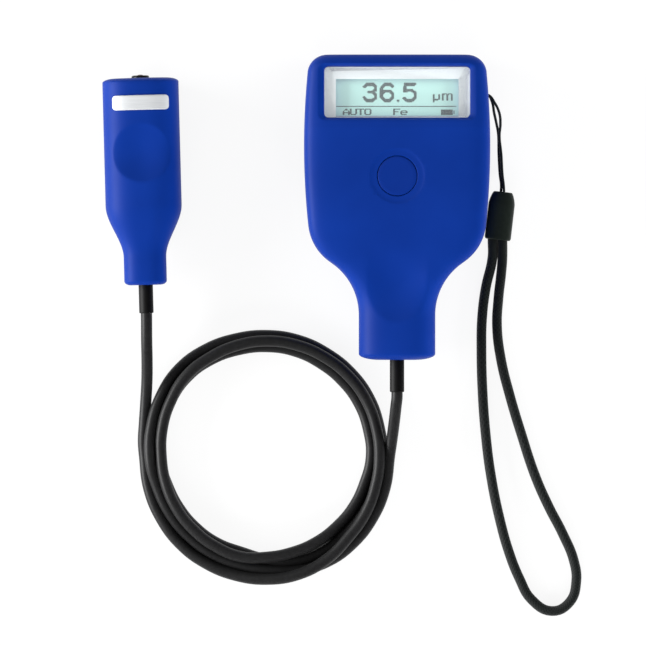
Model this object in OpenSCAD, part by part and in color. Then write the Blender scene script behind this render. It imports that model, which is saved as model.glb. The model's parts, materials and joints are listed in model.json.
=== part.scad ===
// Coating thickness gauge with a corded probe and a wrist strap, lying on its back.
// The origin is on the flat back of the gauge, +Y points to its top edge and +Z to its display.

/* [Housing] */
// Width of the gauge at its widest place
body_w = 62; // [59:0.5:65]
// Length from the top edge to the end of the neck
body_l = 101.6; // [99:0.2:105]
// Thickness at the crease under the display
body_t = 28; // [27:0.25:30]
// Height of the parting plane above the back
split_z = 13.5; // [13:0.25:14]
// Wall of both halves
wall = 2; // [1.7:0.1:2.3]
// Radius of the top corners in plan
corner_r = 6.5; // [5:0.5:8]
// Radius along the top edge
edge_r = 3.5; // [3:0.25:4]
// Radius of the bowed sides
side_r = 250; // [200:10:300]
// Distance of the widest place from the top edge
widest_d = 30.3; // [27:0.5:34]
// Distance of the crease from the top edge
crease_d = 24.3; // [23:0.25:26]
// Slope of the display face in degrees
face_tilt = 5; // [3:0.5:6]
// Squareness of the section across the body
body_power = 8; // [6:0.5:9]

/* [Neck] */
// Width of the neck
neck_w = 25.5; // [23:0.5:27]
// Thickness of the neck
neck_t = 20; // [19:0.5:21]
// Height of the neck's back above the table
neck_rise = 3.5; // [3:0.25:4]
// Straight length of the neck
neck_l = 15; // [13:0.5:17]
// Radius of the shoulders
shoulder_r = 17; // [15:0.5:19]
// Radius of the throat between shoulder and neck
throat_r = 21; // [19:0.5:23]
// Squareness of the section across the neck
neck_power = 2.8; // [2.4:0.1:3.2]
// Depth of the thumb scoop on the neck
scoop_depth = 1.8; // [1:0.1:2.2]
// Width of the thumb scoop
scoop_w = 20; // [17:0.5:21]
// Distance of the scoop's lower rim from the neck's end
scoop_d = 12.4; // [10:0.2:15]

/* [Display] */
// Width of the clear window
window_w = 48.6; // [46:0.2:50]
// Height of the clear window
window_h = 17.2; // [16.6:0.2:18]
// Thickness of the clear window
window_t = 1.2; // [1:0.1:1.5]
// Distance of the window's middle from the top edge
window_d = 12.5; // [12:0.1:13]
// Depth of the window's face below the housing's face
window_sink = 1.4; // [1.2:0.1:1.6]
// Width of the sloping sides of the window's recess
flare_w = 2; // [1:0.1:2.2]
// Width of the sloping ends of the window's recess
flare_h = 0.7; // [0.4:0.1:0.8]
// Thickness of the printed frame under the window
bezel_t = 0.3; // [0.2:0.05:0.5]
// Width of the opening that shows the display
view_w = 40.8; // [38:0.2:43]
// Height of the opening that shows the display
view_h = 12.6; // [11:0.2:13]
// Distance of the opening's middle below the window's middle
view_drop = 1.7; // [1.2:0.1:1.9]
// Thickness of the display cell
lcd_t = 1.8; // [1.4:0.1:2.2]

/* [Button] */
// Diameter of the push button
button_d = 13.3; // [12:0.1:14.5]
// Distance of the button's middle from the top edge
button_pos = 40.4; // [39.6:0.2:42]
// Diameter of the dish round the button
dish_d = 17.2; // [16:0.2:19]
// Depth of the dish
dish_depth = 0.5; // [0.3:0.1:0.7]
// Travel of the button
button_travel = 0.7; // [0.4:0.1:0.9]

/* [Batteries] */
// Diameter of a cell
cell_d = 10.5; // [10.3:0.1:10.6]
// Length of a cell
cell_l = 44.5; // [44:0.1:44.8]
// Length of a contact spring
contact_l = 3; // [2.6:0.1:3.6]
// Thickness of the battery door
door_t = 1.7; // [1.6:0.1:1.9]

/* [Probe] */
// Length of the probe
probe_l = 69; // [66:0.5:72]
// Width of the probe
probe_w = 25.4; // [24:0.2:27]
// Thickness of the probe
probe_t = 22.4; // [21.6:0.2:24]
// Width at the cable end
probe_neck_w = 14.2; // [13:0.2:15]
// Thickness at the cable end
probe_neck_t = 13.2; // [12.6:0.2:14]
// Distance from the cable end to where the taper starts
taper_from = 9.3; // [8:0.1:11]
// Length of the taper
taper_l = 17.3; // [15:0.1:19]
// Squareness of the probe's section
probe_power = 2.6; // [2.3:0.1:3]
// Diameter of the thumb dimple
dimple_d = 19.4; // [16:0.2:20]
// Depth of the thumb dimple
dimple_depth = 2.4; // [1:0.1:3]
// Distance of the dimple's middle from the tip end
dimple_pos = 25; // [22:0.5:28]
// Width of the label plate
label_w = 18.8; // [16:0.2:19.6]
// Height of the label plate
label_h = 5.3; // [4.5:0.1:6]
// Distance of the label's middle from the tip end
label_pos = 8.1; // [7:0.1:9.5]
// Diameter of the measuring tip
tip_d = 5.9; // [5.5:0.1:6.3]
// How far the tip stands out of the probe
tip_out = 0.9; // [0.7:0.1:1.4]
// Angle that the probe lies at, in degrees
probe_turn = 1.5; // [0:0.1:3]

/* [Cords] */
// Diameter of the probe cable
cable_d = 3.8; // [3.6:0.1:4.2]
// Diameter of the strain reliefs
sleeve_d = 4.8; // [4.5:0.1:5.2]
// Length of the gauge's strain relief outside
sleeve_l = 10.7; // [9:0.1:12]
// Length of the probe's strain relief outside
probe_sleeve_l = 9.4; // [8:0.1:11]
// Diameter of the wrist loop's cord
strap_d = 3.3; // [3:0.1:3.4]
// Diameter of the thin loop's cord
thread_d = 0.9; // [0.8:0.05:1]

/* [Hidden] */
$fn = 48;

// Clearances
fit = 0.1;
slide_gap = 0.2;
run_gap = 0.05;

// Places along the gauge
y_top = body_l / 2;
y_end = -body_l / 2;
y_crease = y_top - crease_d;
y_neck = y_end + neck_l;
ramp_d = 34.8;
y_ramp = y_end + ramp_d;
y_window = y_top - window_d;
y_button = y_top - button_pos;
land_edge = 1;
y_land = y_button - dish_d / 2 - land_edge;
scoop_l = 13;
end_dome = 2;
end_inset = 7;
dome_share = 0.7;

// Circles of the outline: bowed side, throat, and the shoulder that touches both
side_c = [body_w / 2 - side_r, y_top - widest_d];
throat_c = [neck_w / 2 + throat_r, y_neck];
to_side = side_r - shoulder_r;
to_throat = shoulder_r + throat_r;
centre_gap = norm(throat_c - side_c);
along = (throat_c - side_c) / centre_gap;
foot = (to_side * to_side - to_throat * to_throat + centre_gap * centre_gap) / (2 * centre_gap);
shoulder_c = side_c + foot * along
    + sqrt(to_side * to_side - foot * foot) * [-along.y, along.x];
y_shoulder = (side_c + side_r * unit(shoulder_c - side_c)).y;
y_throat = (shoulder_c + shoulder_r * unit(throat_c - shoulder_c)).y;

// Stack from the back of the gauge to its board
door_sink = 0.2;
door_lip = 0.8;
slot_top = door_sink + door_t + slide_gap;
pad_top = slot_top + 1.2;
cell_z = slot_top + 0.4 + cell_d / 2;
well_top = cell_z + cell_d / 2 + 0.4;
board_z = well_top + 1.6;
board_t = 1.6;
board_top = board_z + board_t;

// Battery well
cell_pitch = cell_d + 0.7;
well_half = cell_pitch / 2 + cell_d / 2 + 0.35;
well_wall = 1.4;
plate_t = 0.6;
well_l = cell_l + contact_l + plate_t + 2 * fit;
well_d = 8.6;
well_y1 = y_top - well_d;
well_y0 = well_y1 - well_l;
door_half = well_half + 1;
door_flange = 1;
door_y0 = well_y0 - 2.4;
door_y1 = y_top - edge_r;

// Button and switch
button_gap = 0.15;
button_face = front_z(y_button) - dish_depth - 0.1;
guide_r = button_d / 2 + 2.4;
guide_z = front_z(y_button) - wall - dish_depth - 0.8;
flange_r = button_d / 2 + 1.2;
flange_t = 0.8;
switch_w = 6;
switch_t = 3.4;
plunger_r = 1.7;
plunger_top = board_top + switch_t + 1;
stem_r = 2.4;
connector = [10, 4.4, 4];
connector_gap = 1;
connector_y = min(y_shoulder, y_button - switch_w / 2 - connector.y / 2 - connector_gap);

// Display stack, measured down from the sloping face
window_r = 1.5;
recess_floor = window_sink + window_t + bezel_t;
frame_t = 1.5;
frame_rim = 1.2;
lcd_top = recess_floor + frame_t + fit;
lcd_w = view_w + 5;
lcd_h = view_h + 3.4;
lcd_y = y_window - view_drop;

// Screws of the housing
screw_r = 1.1;
screw_head_r = 2.4;
screw_head_t = 1.8;
screw_seat_z = 6;
screw_grip = 6;
screw_l = split_z + screw_grip - screw_seat_z;
boss_r = 3.3;
screws = [
    for (side = [-1, 1], y = [lcd_y - lcd_h / 2 - boss_r - 1.6, y_shoulder + 1.5])
        [side * (half_w(y) - wall - boss_r - 2), y],
];

// Probe, in its own frame: +Y to the tip, middle of the probe at y = 0
probe_at = [-84.7, 8.67];
probe_split = probe_t / 2;
probe_tip_y = probe_l / 2;
probe_end_y = -probe_l / 2;
probe_dome = 1.4;
probe_inset = 4;
probe_end_inset = 2.2;
probe_wall = 1.8;
dimple_y = probe_tip_y - dimple_pos;
label_y = probe_tip_y - label_pos;
label_t = 0.2;
label_lift = 0.1;
guide_l = 8;
guide_ring = 1.6;
tip_flange = 1.2;
tip_l = 12.6;
plunger_back = probe_tip_y + tip_out - tip_l;
spring_wire = 0.7;
spring_l = 8;
seat_t = 1.6;
seat_y = plunger_back - spring_l - 2 * fit;
tip_wall = 0.8;
tip_shoulder = tip_wall + 0.2;
core_r = 1;
core_l = 9;
coil_r = tip_d / 2 - tip_wall - run_gap;
board_l = 14;
board_w = 12;
sensor_board_z = probe_split - 1.8;
sensor_board_y1 = seat_y - seat_t - 1;
probe_screw_y = sensor_board_y1 - board_l - 4;
probe_screw_x = 5.6;
probe_boss_r = 2.2;
probe_screw_r = 0.8;
probe_head_r = 1.5;
probe_seat_z = probe_split - 4;

// Sleeves
flange_out = 1;
sleeve_flange_t = 1.6;
sleeve_bevel = 0.2;

// Cable: the coil's ring and the two leads, which run from the sleeves into it
coil_at = [-43.3, -83.2];
coil_in = 33;
coil_out = 42.6;
coil_h = 7.8;
lead_drop = [
    [-83.5, -44, 10.2], [-83.4, -51.5, 7.4], [-83.4, -58, 4.6], [-83.6, -65, 2.8],
    [-84, -72.5, 2.1], [-84, -79, 2.1],
];
gauge_drop = [
    [-0.3, -66, 12.4], [-0.8, -71.5, 9.4], [-1.4, -77, 6.2], [-2.1, -82.5, 3.6],
    [-3, -88, 2.3], [-4.2, -93, 2.1],
];

// Wrist strap on the table
bead_top = [35.7, 5.3];
bead_end = [33.9, -10.7];
bead_w = 8.5;
bead_t = 6.4;
bead_power = 2.4;
strap_z = strap_d / 2 + 0.05;
strap_xy = [
    [29.6, -27], [28.5, -37], [28.3, -47], [28.6, -60], [29.7, -75.5], [31.5, -89.7],
    [34.4, -104], [37.7, -115.7], [40.9, -123.7], [45, -130.9], [51.9, -134.8],
    [57.8, -131.8], [60, -125], [59.2, -118], [55.5, -109], [50.7, -99.7],
    [46.3, -89.7], [41.6, -75.5], [37.8, -62.8], [34.8, -50.5], [33.5, -39.5],
    [33.8, -30], [34.6, -22],
];
strap_reach = 1.75;
strap_gap = 0.3;
eye_d = 13;
eye_y = y_top - eye_d;
eye_r = 1.1;
eye_z = [4.6, 8.8];
thread_out = [[35.6, 11, 1.8], [35.2, 18, 1.4], [34.8, 24, 2.6], [34.7, 29, 5], [34, 33.6, 7.6]];
thread_back = [[32.5, 35.2, 5.2], [33.3, 30, 3], [33.9, 24, 1.2], [34.3, 18, 0.9], [34.7, 11, 1.2]];

function unit(v) = v / norm(v);

function mix(a, b, t) = a + (b - a) * t;

function ease(t) = let (c = max(0, min(1, t))) c * c * (3 - 2 * c);

// Height of a rounded section at the share u of its half width
function crown(u, power) = pow(max(0, 1 - pow(abs(u), power)), 1 / power);

function steps(from, to, count) = [for (i = [1:count]) mix(from, to, i / count)];

// Half width of the gauge in plan
function half_w(y) =
    y > y_top - corner_r
        ? half_w(y_top - corner_r) - corner_r
            + sqrt(max(0, corner_r * corner_r - pow(y - y_top + corner_r, 2)))
    : y > y_shoulder ? side_c.x + sqrt(side_r * side_r - pow(y - side_c.y, 2))
    : y > y_throat ? shoulder_c.x + sqrt(shoulder_r * shoulder_r - pow(y - shoulder_c.y, 2))
    : y > y_neck ? throat_c.x - sqrt(throat_r * throat_r - pow(y - throat_c.y, 2))
    : neck_w / 2;

// Height of the front and of the back along the middle of the gauge; the land round the button is level
function front_z(y) =
    y > y_crease ? body_t - (y - y_crease) * tan(face_tilt)
    : mix(body_t, neck_rise + neck_t, ease((y_land - y) / (y_land - y_neck)));

function back_z(y) = neck_rise * ease((y_ramp - y) / (y_ramp - y_neck));

function power_at(y) = mix(body_power, neck_power, ease((y_shoulder - y) / (y_shoulder - y_neck)));

// How far the rounded top edge and the domed end draw the section in
function top_inset(y) = edge_r - sqrt(edge_r * edge_r - pow(max(0, y - y_top + edge_r), 2));

function dome_inset(y) =
    end_inset * (1 - sqrt(max(0, 1 - pow(max(0, y_end + end_dome - y) / end_dome, 2))));

// Thumb scoop: a round lower rim, running out softly toward the button
function scoop(x, y) =
    let (rim = y_end + scoop_d, middle = rim + scoop_l, fade = middle + scoop_l)
    scoop_depth * max(0, 1 - pow(2 * x / scoop_w, 2) - pow(min(0, y - middle) / scoop_l, 2))
        * ease((fade - y) / (fade - middle));

gauge_ys = concat(
    [for (a = [90:-15:0]) y_top - corner_r * (1 - sin(a))],
    steps(y_top - corner_r, y_crease, 3),
    steps(y_crease, y_shoulder, 5),
    steps(y_shoulder, y_throat, 4),
    steps(y_throat, y_neck, 6),
    steps(y_neck, y_end + end_dome, 5),
    [for (a = [25:21.6:90]) y_end + end_dome * (1 - sin(a))],
    [y_end]
);

// One ring of a gauge half, drawn in by a wall thickness for its inner face
function gauge_ring(y0, inset, count, front) =
    let (
        y = y0 * (1 - 2 * inset / body_l),
        dome = dome_inset(y0),
        w = half_w(y) - inset - dome,
        edge = top_inset(y0) + dome_share * dome,
        up = front_z(y) - split_z - inset - edge,
        down = split_z - back_z(y) - inset - edge
    )
    [for (k = [0:count])
        let (u = sin(90 * (2 * k / count - 1)), c = crown(u, power_at(y)))
        [w * u, y, front ? split_z + up * c - scoop(w * u, y) : split_z - min(down, 1.03 * down * c)]];

// Half width, front height and back height of the probe
function probe_share(y) = ease((y - probe_end_y - taper_from) / taper_l);

function probe_half(y) = mix(probe_neck_w, probe_w, probe_share(y)) / 2;

function probe_high(y) = mix(probe_neck_t, probe_t, probe_share(y)) / 2;

function probe_round(y) =
    let (over = max(0, abs(y) - probe_tip_y + probe_dome) / probe_dome)
    (y > 0 ? probe_inset : probe_end_inset) * (1 - sqrt(max(0, 1 - over * over)));

function dimple(x, y) =
    dimple_depth * max(0, 1 - (x * x + pow(y - dimple_y, 2)) / pow(dimple_d / 2, 2));

probe_ys = concat(
    [for (a = [90:-22.5:0]) probe_tip_y - probe_dome * (1 - sin(a))],
    steps(probe_tip_y - probe_dome, dimple_y + dimple_d / 2, 4),
    steps(dimple_y + dimple_d / 2, dimple_y - dimple_d / 2, 6),
    steps(dimple_y - dimple_d / 2, probe_end_y + taper_from + taper_l, 2),
    steps(probe_end_y + taper_from + taper_l, probe_end_y + taper_from, 6),
    steps(probe_end_y + taper_from, probe_end_y + probe_dome, 2),
    [for (a = [22.5:22.5:90]) probe_end_y + probe_dome * (1 - sin(a))]
);

function probe_front_z(x, y, inset) =
    let (w = probe_half(y) - inset)
    probe_split + (probe_high(y) - inset) * crown(x / w, probe_power) - dimple(x, y);

function probe_ring(y0, inset, count, front) =
    let (
        y = y0 * (1 - 2 * inset / probe_l),
        draw = inset + probe_round(y0),
        w = probe_half(y) - draw,
        h = probe_high(y) - draw
    )
    [for (k = [0:count])
        let (u = sin(90 * (2 * k / count - 1)), c = crown(u, probe_power))
        [w * u, y, front ? probe_split + h * c - dimple(w * u, y) : probe_split - min(h, 1.03 * h * c)]];

function quad(a, b, c, d) = [[a, b, c], [a, c, d]];

function turned(faces) = [for (f = faces) [for (i = [len(f) - 1:-1:0]) f[i]]];

// A thin half of a housing between rings of its outer and its inner face, open at the parting plane
module half_shell(outer, inner, front) {
    m = len(outer);
    n = len(outer[0]);
    k = len(inner[0]);
    o = m * n;
    last = (m - 1) * n;
    last_in = o + (m - 1) * k;
    faces = concat(
        [for (i = [0:m - 2], j = [0:n - 2])
            each quad(i * n + j, i * n + j + 1, (i + 1) * n + j + 1, (i + 1) * n + j)],
        [for (i = [0:m - 2], j = [0:k - 2])
            each quad(o + i * k + j, o + (i + 1) * k + j, o + (i + 1) * k + j + 1, o + i * k + j + 1)],
        [for (i = [0:m - 2]) each quad(i * n, (i + 1) * n, o + (i + 1) * k, o + i * k)],
        [for (i = [0:m - 2])
            each quad(i * n + n - 1, o + i * k + k - 1, o + (i + 1) * k + k - 1, (i + 1) * n + n - 1)],
        [[for (j = [n - 1:-1:0]) j], [for (j = [0:k - 1]) o + j]],
        [[for (j = [0:n - 1]) last + j], [for (j = [k - 1:-1:0]) last_in + j]],
        quad(n - 1, 0, o, o + k - 1),
        quad(last, last + n - 1, last_in + k - 1, last_in)
    );
    polyhedron(concat([for (r = outer) each r], [for (r = inner) each r]), front ? faces : turned(faces));
}

// A closed solid through rings of equal count, with flat ends
module loft(rings) {
    n = len(rings[0]);
    m = len(rings);
    polyhedron([for (r = rings) each r], concat(
        [for (i = [0:m - 2], j = [0:n - 1])
            each quad(i * n + j, i * n + (j + 1) % n, (i + 1) * n + (j + 1) % n, (i + 1) * n + j)],
        [[for (j = [n - 1:-1:0]) j]],
        [[for (j = [0:n - 1]) (m - 1) * n + j]]
    ));
}

// A round cord or wire swept along points; ref is a direction that it never runs along
module cord(points, d, sides, ref = [0, 0, 1]) {
    last = len(points) - 1;
    loft([for (i = [0:last])
        let (
            t = unit(points[min(last, i + 1)] - points[max(0, i - 1)]),
            s = unit(cross(t, ref)),
            up = cross(s, t)
        )
        [for (j = [0:sides - 1])
            points[i] + d / 2 * (cos(360 * j / sides) * s - sin(360 * j / sides) * up)]]);
}

module rounded(w, h, r) {
    square([w - 2 * r, h], center = true);
    square([w, h - 2 * r], center = true);
    for (x = [-1, 1], y = [-1, 1])
        translate([x * (w / 2 - r), y * (h / 2 - r)]) circle(r);
}

// Places children on the sloping display face, with z = 0 on that face
module on_face() {
    translate([0, y_window, front_z(y_window)]) rotate([-face_tilt, 0, 0]) children();
}

module in_probe() {
    translate([probe_at.x, probe_at.y, 0]) rotate(probe_turn) children();
}

// A cylinder along +Y from y
module rod_y(y, l, r) {
    translate([0, y, 0]) rotate([-90, 0, 0]) cylinder(h = l, r = r);
}

// The recess above the window widens from the window's edge to the housing's face
module window_flare() {
    base = [window_w, window_h] + 2 * fit * [1, 1];
    h = window_sink + wall;
    grow = 2 * [flare_w, flare_h] * h / window_sink;
    translate([0, 0, -window_sink])
        linear_extrude(h, scale = [1 + grow.x / base.x, 1 + grow.y / base.y])
            rounded(base.x, base.y, window_r);
}

module front_cover() {
    top_at = function (p) mix(split_z, front_z(p.y), crown(p.x / half_w(p.y), body_power)) - wall / 2;
    color("royalblue") difference() {
        union() {
            half_shell(
                [for (y = gauge_ys) gauge_ring(y, 0, 22, true)],
                [for (y = gauge_ys) gauge_ring(y, wall, 12, true)],
                true
            );
            on_face() translate([0, -view_drop / 2, -recess_floor - frame_t])
                linear_extrude(frame_t + bezel_t)
                    rounded(window_w + 2 * frame_rim, window_h + view_drop + 2 * frame_rim, window_r);
            for (p = screws)
                translate([p.x, p.y, split_z]) cylinder(h = top_at(p) - split_z, r = boss_r);
            translate([0, y_button, guide_z])
                cylinder(h = front_z(y_button) - wall / 2 - dish_depth - guide_z, r = guide_r);
        }
        on_face() translate([0, 0, -recess_floor])
            linear_extrude(recess_floor + wall) rounded(window_w + 2 * fit, window_h + 2 * fit, window_r);
        on_face() window_flare();
        on_face() translate([0, -view_drop, -recess_floor - 2 * frame_t])
            linear_extrude(recess_floor + frame_t) square([view_w, view_h], center = true);
        for (p = screws)
            translate([p.x, p.y, split_z - 1]) cylinder(h = screw_seat_z + screw_l + 2 - split_z, r = screw_r + run_gap);
        translate([0, y_button, guide_z - 1]) cylinder(h = body_t, r = button_d / 2 + button_gap);
        dish_r = (pow(dish_d / 2, 2) + pow(dish_depth, 2)) / (2 * dish_depth);
        translate([0, y_button, front_z(y_button) - dish_depth + dish_r]) sphere(dish_r, $fn = 96);
        translate([0, 0, split_z]) rod_y(y_end - 1, wall + 4, sleeve_d / 2 + fit);
    }
}

module rear_cover() {
    color("royalblue") difference() {
        union() {
            half_shell(
                [for (y = gauge_ys) gauge_ring(y, 0, 22, false)],
                [for (y = gauge_ys) gauge_ring(y, wall, 12, false)],
                false
            );
            translate([-door_half - door_flange - 2, door_y0 - 2, wall / 2])
                cube([2 * (door_half + door_flange + 2), y_top - wall - door_y0 + 2, pad_top - wall / 2]);
            translate([-well_half - well_wall, well_y0 - well_wall, wall / 2])
                cube([2 * (well_half + well_wall), well_l + 2 * well_wall, board_z - wall / 2]);
            for (p = screws)
                translate([p.x, p.y, wall / 2]) cylinder(h = split_z - wall / 2, r = boss_r);
        }
        translate([-door_half - slide_gap, door_y0 - slide_gap, -1])
            cube([2 * (door_half + slide_gap), body_l, 1 + slot_top]);
        translate([-door_half - door_flange - slide_gap, door_y0 - slide_gap, door_lip])
            cube([2 * (door_half + door_flange + slide_gap), body_l, slot_top - door_lip]);
        translate([-well_half, well_y0, 0]) cube([2 * well_half, well_l, well_top]);
        for (p = screws)
            translate([p.x, p.y, -1]) {
                cylinder(h = split_z + 2, r = screw_r + 0.4);
                cylinder(h = screw_seat_z + 1, r = screw_head_r + slide_gap);
            }
        for (z = eye_z)
            translate([half_w(eye_y) - 2 * wall, eye_y, z]) rotate([0, 90, 0]) cylinder(h = 3 * wall, r = eye_r);
        translate([0, 0, split_z]) rod_y(y_end - 1, wall + 4, sleeve_d / 2 + fit);
    }
}

// Side view of the door: flat, with its outer end following the rounded top edge
module door_side(z0) {
    r = edge_r - door_sink;
    arc = [for (a = [-90:10:0]) [y_top - edge_r + r * cos(a), edge_r + r * sin(a)]];
    z1 = door_sink + door_t;
    tip = [for (p = arc) if (p.y < z1 && p.y > z0) p];
    reach = y_top - edge_r + sqrt(r * r - pow(edge_r - z1, 2));
    foot_y = y_top - edge_r + sqrt(max(0, r * r - pow(edge_r - z0, 2)));
    polygon(concat([[door_y0, z1], [door_y0, z0], [foot_y, z0]], tip, [[reach, z1]]));
}

module battery_cover() {
    rib_l = 12;
    color("mediumblue") difference() {
        union() {
            translate([-door_half, 0, 0]) rotate([90, 0, 90]) linear_extrude(2 * door_half) door_side(door_sink);
            translate([-door_half - door_flange, 0, 0]) rotate([90, 0, 90])
                linear_extrude(2 * (door_half + door_flange)) door_side(door_lip + slide_gap);
        }
        for (i = [0:4])
            translate([-rib_l / 2, door_y1 - 6 - 2 * i, door_sink - 1]) cube([rib_l, 1, 1.5]);
    }
}

module power_button() {
    color("royalblue") translate([0, y_button, 0]) {
        translate([0, 0, guide_z - slide_gap - flange_t]) {
            cylinder(h = button_face - guide_z + slide_gap + flange_t, r = button_d / 2);
            cylinder(h = flange_t, r = flange_r);
        }
        translate([0, 0, plunger_top]) cylinder(h = guide_z - plunger_top - slide_gap, r = stem_r);
    }
}

module display_window() {
    color("lavender") on_face() translate([0, 0, -window_sink - window_t])
        linear_extrude(window_t) rounded(window_w, window_h, window_r);
}

module display_bezel() {
    color("gainsboro") on_face() translate([0, 0, -recess_floor]) linear_extrude(bezel_t) difference() {
        rounded(window_w, window_h, window_r);
        translate([0, -view_drop]) square([view_w, view_h], center = true);
    }
}

module lcd_glass() {
    color("palegreen") on_face() translate([0, -view_drop, -lcd_top - lcd_t / 2])
        cube([lcd_w, lcd_h, lcd_t], center = true);
}

// Wedge under the display cell: level on the board, sloping like the display face above
module lcd_holder() {
    color("white") intersection() {
        on_face() translate([0, -view_drop, -lcd_top - lcd_t - body_t / 2])
            cube([lcd_w, lcd_h, body_t], center = true);
        translate([-body_w / 2, y_crease - body_l / 4, board_top]) cube([body_w, body_l, body_t]);
    }
}

module main_board() {
    board_half = half_w(y_shoulder) - wall - 2.6;
    y0 = connector_y - connector.y / 2 - connector_gap;
    y1 = y_top - wall - 2.4;
    color("darkgreen") difference() {
        translate([0, (y0 + y1) / 2, board_z]) linear_extrude(board_t)
            rounded(2 * board_half, y1 - y0, corner_r - wall);
        for (p = screws)
            translate([p.x, p.y, board_z - 1]) cylinder(h = board_t + 2, r = boss_r + slide_gap);
    }
}

// Processor on one side of the switch; two small chips on the other; a crystal below
module board_chips() {
    chip_w = 9;
    chip_t = 1.4;
    small = [5, 4, 1.2];
    chip_gap = 8;
    side_x = switch_w / 2 + chip_w / 2 + chip_gap;
    color("dimgray") translate([0, y_button, board_top]) {
        translate([-side_x, 0, chip_t / 2]) cube([chip_w, chip_w, chip_t], center = true);
        for (y = [small.y / 2, -3 * small.y / 2])
            translate([side_x, y, small.z / 2]) cube(small, center = true);
        translate([-side_x, -chip_w, chip_t / 2]) cube([0.8 * chip_w, 0.3 * chip_w, chip_t], center = true);
    }
}

module probe_connector() {
    rim = 0.7;
    color("ivory") translate([0, connector_y, board_top + connector.z / 2]) difference() {
        cube(connector, center = true);
        translate([0, -rim - 0.5, 0]) cube(connector - 2 * [rim, 0, rim], center = true);
    }
}

module tact_switch() {
    color("black") translate([0, y_button, board_top]) difference() {
        translate([0, 0, switch_t / 2]) cube([switch_w, switch_w, switch_t], center = true);
        translate([0, 0, 1]) cylinder(h = switch_t, r = plunger_r + slide_gap);
    }
}

module switch_plunger() {
    low = board_top + 1 + button_travel + slide_gap;
    color("gray") translate([0, y_button, low]) cylinder(h = plunger_top - low, r = plunger_r);
}

// A cell with its cap toward +Y
module cell() {
    cap_l = 1;
    translate([0, 0, cell_z]) {
        rod_y(0, cell_l - cap_l, cell_d / 2);
        rod_y(cell_l - cap_l - 0.1, cap_l + 0.1, 1.9);
    }
}

module battery_left() {
    color("goldenrod") translate([-cell_pitch / 2, well_y0 + contact_l + fit, 0]) cell();
}

module battery_right() {
    color("goldenrod") translate([cell_pitch / 2, well_y1 - contact_l - fit, 0]) mirror([0, 1, 0]) cell();
}

// A conical contact spring, from its wide foot at y = 0 toward +Y
module contact_spring() {
    wire = 0.6;
    turns = 3;
    per_turn = 10;
    points = [for (i = [0:turns * per_turn])
        let (t = i / (turns * per_turn), a = 360 * turns * t, r = cell_d * mix(0.34, 0.19, t))
        [r * cos(a), mix(wire / 2, contact_l - wire / 2, t), cell_z + r * sin(a)]];
    cord(points, wire, 6, [0, 1, 0]);
}

module battery_springs() {
    color("silver") {
        translate([-cell_pitch / 2, well_y0 + fit / 2, 0]) contact_spring();
        translate([cell_pitch / 2, well_y1 - fit / 2, 0]) mirror([0, 1, 0]) contact_spring();
    }
}

module battery_plates() {
    size = [cell_d - 2, plate_t, cell_d - 2];
    color("silver") {
        translate([-cell_pitch / 2, well_y1 - plate_t / 2, cell_z]) cube(size, center = true);
        translate([cell_pitch / 2, well_y0 + plate_t / 2, cell_z]) cube(size, center = true);
    }
}

// A pan-head screw, head down, with a cross recess; z = 0 is under its head
module screw(r, l, head_r, head_t) {
    difference() {
        union() {
            cylinder(h = l, r = r);
            translate([0, 0, -head_t]) cylinder(h = head_t, r = head_r);
        }
        for (a = [0, 90])
            rotate(a) translate([-head_r * 0.6, -head_r * 0.13, -head_t - 1])
                cube([head_r * 1.2, head_r * 0.26, 1 + head_t * 0.6]);
    }
}

module housing_screws() {
    color("silver") for (p = screws)
        translate([p.x, p.y, screw_seat_z]) screw(screw_r, screw_l, screw_head_r, screw_head_t);
}

// Strain relief along -Y: plain sleeve outside y = 0 with a bevelled end, flange inside a wall
module sleeve(l, inside) {
    r = sleeve_d / 2;
    color("#1c1c1c") rotate([90, 0, 0]) rotate_extrude() polygon([
        [0, -inside - sleeve_flange_t], [r + flange_out, -inside - sleeve_flange_t],
        [r + flange_out, -inside - fit], [r, -inside - fit],
        [r, l - sleeve_bevel], [r - sleeve_bevel, l], [0, l]
    ]);
}

module gauge_cable_sleeve() {
    translate([0, y_end, split_z]) sleeve(sleeve_l, wall);
}

// Half of a round disc or boss row inside the probe, kept on one side of the parting plane
module probe_side(front) {
    intersection() {
        children();
        translate([-probe_w, -probe_l, front ? probe_split : probe_split - probe_t])
            cube([2 * probe_w, 2 * probe_l, probe_t]);
    }
}

module spring_seat(front) {
    probe_side(front) translate([0, 0, probe_split])
        rod_y(seat_y - seat_t, seat_t, probe_high(seat_y) - probe_wall / 2 - (front ? dimple_depth : 0));
}

module probe_bores() {
    translate([0, 0, probe_split]) {
        rod_y(probe_tip_y - probe_wall - 4, probe_wall + 6, tip_d / 2 + guide_ring + fit);
        rod_y(probe_end_y - 2, probe_wall + 6, sleeve_d / 2 + fit);
        rod_y(seat_y - seat_t - 1, seat_t + 2, core_r + 0.6);
    }
}

module probe_front_shell() {
    boss_h = probe_high(probe_screw_y) * crown(probe_screw_x / probe_half(probe_screw_y), probe_power);
    color("royalblue") in_probe() difference() {
        union() {
            half_shell(
                [for (y = probe_ys) probe_ring(y, 0, 20, true)],
                [for (y = probe_ys) probe_ring(y, probe_wall, 10, true)],
                true
            );
            spring_seat(true);
            for (x = [-1, 1])
                translate([x * probe_screw_x, probe_screw_y, probe_split])
                    cylinder(h = boss_h - probe_wall / 2, r = probe_boss_r);
        }
        probe_bores();
        for (x = [-1, 1])
            translate([x * probe_screw_x, probe_screw_y, probe_split - 1])
                cylinder(h = 1 + boss_h - probe_wall - 1, r = probe_screw_r + run_gap);
    }
}

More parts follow.
